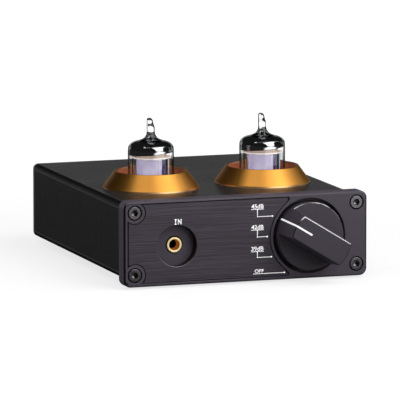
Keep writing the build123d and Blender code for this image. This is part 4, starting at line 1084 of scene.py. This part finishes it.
def words(text, x, z, height, width, weight):
    """Flat words on the inlay, with their lower left corner at x, z, thickened by weight."""
    curve = bpy.data.curves.new("words", "FONT")
    curve.body = text
    curve.offset = weight
    source = bpy.data.objects.new("words", curve)
    SCENE.collection.objects.link(source)
    bpy.context.view_layer.update()
    shaped = source.evaluated_get(bpy.context.evaluated_depsgraph_get())
    mesh = bpy.data.meshes.new_from_object(shaped)
    bpy.data.objects.remove(source)
    bpy.data.curves.remove(curve)
    bm = bmesh.new()
    bm.from_mesh(mesh)
    bpy.data.meshes.remove(mesh)
    lowest = Vector([min(corner.co[axis] for corner in bm.verts) for axis in (X, Y, Z)])
    highest = Vector([max(corner.co[axis] for corner in bm.verts) for axis in (X, Y, Z)])
    size = highest - lowest
    bmesh.ops.translate(bm, vec=-lowest, verts=bm.verts)
    bmesh.ops.scale(bm, vec=(width * MM / size.x, height * MM / size.y, 1), verts=bm.verts)
    thicken(bm, PRINT_T)
    shift(bm, x, INLAY_FRONT, z, FACING_FRONT)
    return bm


def bar(x0, z0, x1, z1, width):
    """A printed line between two points of the inlay."""
    bm = bmesh.new()
    length = hypot(x1 - x0, z1 - z0)
    bmesh.ops.create_grid(bm, x_segments=1, y_segments=1, size=0.5)
    bmesh.ops.scale(bm, vec=(length * MM, width * MM, 1), verts=bm.verts)
    thicken(bm, PRINT_T)
    lean = Matrix.Rotation(atan2(z1 - z0, x1 - x0), 4, "Z")
    shift(bm, (x0 + x1) / 2, INLAY_FRONT, (z0 + z1) / 2, FACING_FRONT @ lean)
    return bm


def dot(x, z, radius):
    """A printed round dot on the inlay."""
    bm = bmesh.new()
    bmesh.ops.create_cone(
        bm, cap_ends=True, segments=24, radius1=radius * MM, radius2=radius * MM, depth=PRINT_T * MM
    )
    shift(bm, x, INLAY_FRONT - PRINT_T / 2, z, FACING_FRONT)
    return bm


DIAL_R, DOT_R = 18.1, 0.33
LINE_T, LINE_LEFT, LINE_RIGHT = 0.26, 2.0, 7.5
STEM_T, STEM_X = 0.3, 4.75
WORD_LEFT, WORD_GAP, WORD_HEIGHT, WORD_WIDTH = 2.1, 0.3, 1.75, 5.3
GAINS = (
    # word, its dot's angle round the knob in degrees, and the height of the line below the word
    ("45dB", 151.0, 30.35), ("42dB", 178.5, 21.85), ("39dB", 206.0, 13.0),
)
OFF_ANGLE, OFF_LEFT = 234.0, 2.97


def on_dial(angle):
    """The place of a mark on the circle round the knob."""
    return KNOB_X + DIAL_R * cos(radians(angle)), KNOB_Z + DIAL_R * sin(radians(angle))


marks = []
for text, angle, line_z in GAINS:
    dot_x, dot_z = on_dial(angle)
    marks += [
        dot(dot_x, dot_z, DOT_R),
        words(text, WORD_LEFT, line_z + WORD_GAP, WORD_HEIGHT, WORD_WIDTH, weight=0.02),
        bar(LINE_LEFT, line_z, LINE_RIGHT, line_z, LINE_T),
        bar(STEM_X, line_z, STEM_X, dot_z - LINE_T / 2, STEM_T),
        bar(STEM_X - LINE_T / 2, dot_z, dot_x, dot_z, LINE_T),
    ]
off_x, off_z = on_dial(OFF_ANGLE)
marks += [
    dot(off_x, off_z, DOT_R),
    words("OFF", 3.6, 4.25, height=1.45, width=3.9, weight=0.02),
    bar(OFF_LEFT, off_z, off_x, off_z, LINE_T),
]
keep(joined(marks), "dial_print", "print_white", weighted=False)

IN_Z, IN_HEIGHT = 25.8, 2.2
I_MIDDLE, I_WIDTH, SERIF_HALF, SERIF_T = -30.24, 0.38, 0.42, 0.32
letters = [
    words("I", I_MIDDLE - I_WIDTH / 2, IN_Z, IN_HEIGHT, I_WIDTH, weight=0.03),
    words("N", -29.30, IN_Z, IN_HEIGHT, width=1.58, weight=0.03),
]
for serif_z in (IN_Z + SERIF_T / 2, IN_Z + IN_HEIGHT - SERIF_T / 2):
    letters.append(bar(I_MIDDLE - SERIF_HALF, serif_z, I_MIDDLE + SERIF_HALF, serif_z, SERIF_T))
keep(joined(letters), "input_print", "print_white", weighted=False)


# ----------------------------------------------------------------- floor, light, camera
FLOOR_SIZE = 40.0
SKY_LIGHT = 0.16
# Level ways from the object: on past it as the camera looks, and towards the window
LOOKING = (0.324, 0.946, 0.0)
TO_WINDOW = (0.47, -0.88)


def light_paths(finish):
    """Masks by kind of ray, one for what mirrors and glass show, and one for all that is seen."""
    path = {
        kind: finish.node("ShaderNodeLightPath", out=f"Is {kind} Ray")
        for kind in ("Camera", "Glossy", "Transmission")
    }
    reflected = path["Glossy"].most(path["Transmission"])
    return path, reflected, path["Camera"].most(reflected)


def floor_paper():
    """White paper. It stays white where it is seen, apart from the object's soft shadow."""
    finish = Finish("floor_paper")
    path, reflected, shown = light_paths(finish)
    where = finish.place()
    away = finish.node("ShaderNodeVectorMath", {"operation": "LENGTH"}, {0: where}, out="Value")
    side, depth = finish.part_of(where, "X"), finish.part_of(where, "Y")
    # a plain glow for the camera, dimmer below the object
    glow = away.ease(0.10, 0.55, 0.74, 1.0)
    # a bright patch towards the window, which only mirrors and glass show
    ahead = side * TO_WINDOW[X] + depth * TO_WINDOW[Y]
    across = depth * TO_WINDOW[X] - side * TO_WINDOW[Y]
    window = ahead.ease(0.26, 0.31) * across.size().ease(0.12, 0.24, 1.0, 0.0)
    # white behind the object and dark elsewhere, for mirrors and clear glass
    behind = ((side * LOOKING[X] + depth * LOOKING[Y]) / away).ease(0.64, 0.86)
    mirrored = path["Glossy"] * (behind * away.ease(0.25, 0.55) * 0.45 + 0.02)
    through = path["Transmission"] * (behind * 0.994 + 0.006)
    strength = glow * (1.0 - reflected) + reflected * window * 2.2 + (mirrored + through)
    lit = finish.node("ShaderNodeEmission", None, {"Color": rgb(1, 1, 1), "Strength": strength})
    seen_paper = finish.node("ShaderNodeBsdfDiffuse", None, {"Color": rgb(0.35, 0.35, 0.35)})
    both = finish.node("ShaderNodeAddShader", None, {0: seen_paper, 1: lit})
    both = finish.node("ShaderNodeMixShader", None, {0: reflected, 1: both, 2: lit})
    paper = finish.node("ShaderNodeBsdfDiffuse", None, {"Color": rgb(0.3, 0.3, 0.3)})
    return finish.wear(finish.node("ShaderNodeMixShader", None, {0: shown, 1: paper, 2: both}))


def studio_sky():
    """White behind the object, dark above and in front, so that glass and metal have edges."""
    world = bpy.data.worlds.new("studio")
    SCENE.world = world
    sky = Finish("studio", world, "ShaderNodeOutputWorld")
    path, _, shown = light_paths(sky)
    way = sky.node("ShaderNodeTexCoord", out="Generated")
    north, high = sky.part_of(way, "Y"), sky.part_of(way, "Z")
    back = sky.node(
        "ShaderNodeVectorMath", {"operation": "DOT_PRODUCT"}, {0: way, 1: LOOKING}, out="Value"
    )
    mirrored = north.ease(0.74, 0.95) * high.ease(0.08, 0.30, 1.0, 0.0) * 0.24 + 0.012
    through = back.ease(0.64, 0.84) * high.ease(0.08, 0.25, 1.0, 0.0) * 0.995 + 0.005
    other = path["Glossy"] * mirrored + path["Transmission"] * through
    strength = path["Camera"] + other + (1.0 - shown) * SKY_LIGHT
    values = {"Color": rgb(1, 1, 1), "Strength": strength}
    return sky.wear(sky.node("ShaderNodeBackground", None, values))


def lay_floor():
    """A wide level sheet of paper, which isn't part of the object."""
    bm = bmesh.new()
    bmesh.ops.create_grid(bm, x_segments=4, y_segments=4, size=FLOOR_SIZE / 2)
    mesh = bpy.data.meshes.new("floor")
    bm.to_mesh(mesh)
    bm.free()
    mesh.materials.append(floor_paper().material)
    floor = bpy.data.objects.new("floor", mesh)
    SCENE.collection.objects.link(floor)


def look_along(thing, place, target):
    """Stands a lamp or the camera at a place and turns it to face a target."""
    thing.location = place
    thing.rotation_euler = (Vector(target) - Vector(place)).to_track_quat("-Z", "Y").to_euler()


lay_floor()
studio_sky()

LIT_MIDDLE = Vector((0.0, -0.02, 0.025))
LAMPS = (
    # name, azimuth and elevation from the object in degrees, distance, width, height, brightness
    ("window_softbox", -62.0, 36.0, 0.95, 0.74, 1.25, 2.2),
    ("key_softbox", -26.0, 51.0, 0.85, 0.32, 0.26, 2.3),
    ("back_left_softbox", -142.0, 60.0, 0.85, 0.50, 0.40, 1.35),
    ("overhead_strip", -60.0, 77.0, 0.85, 0.40, 0.07, 1.5),
    ("right_upper_strip", -3.0, 41.0, 0.90, 0.13, 0.22, 2.4),
    ("right_lower_strip", 9.0, 21.0, 0.90, 0.10, 0.30, 2.0),
    ("left_spot", -164.0, 60.0, 0.90, 0.12, 0.10, 3.2),
    ("left_fill", 176.0, 12.0, 1.50, 1.20, 0.60, 2.4),
    ("rear_fill", 98.0, 14.0, 1.50, 1.20, 0.60, 1.9),
    ("right_fill", 2.0, 10.0, 1.50, 1.20, 0.50, 0.7),
)
SEEN_IN_GLASS = ("window_softbox", "key_softbox", "left_spot")
for name, azimuth, elevation, distance, width, height, brightness in LAMPS:
    lamp = bpy.data.lights.new(name, "AREA")
    lamp.shape, lamp.size, lamp.size_y = "RECTANGLE", width, height
    lamp.energy = brightness * pi * width * height
    stand = bpy.data.objects.new(name, lamp)
    stand.visible_camera = False
    stand.visible_glossy = not name.endswith("fill")
    stand.visible_transmission = name in SEEN_IN_GLASS
    SCENE.collection.objects.link(stand)
    level = cos(radians(elevation))
    way = Vector((level * cos(radians(azimuth)), level * sin(radians(azimuth)), sin(radians(elevation))))
    look_along(stand, LIT_MIDDLE + way * distance, LIT_MIDDLE)

CAMERA_PLACE, CAMERA_TARGET = (-0.77794, -2.28123, 0.38583), (-0.01987, -0.06335, 0.03535)
FOCAL_LENGTH, SENSOR_WIDTH = 528.53, 36.0
lens = bpy.data.cameras.new("camera")
lens.lens, lens.sensor_width = FOCAL_LENGTH, SENSOR_WIDTH
lens.clip_start, lens.clip_end = 0.05, 100.0
camera = bpy.data.objects.new("camera", lens)
SCENE.collection.objects.link(camera)
look_along(camera, CAMERA_PLACE, CAMERA_TARGET)
SCENE.camera = camera
SCENE.view_settings.view_transform = "Standard"
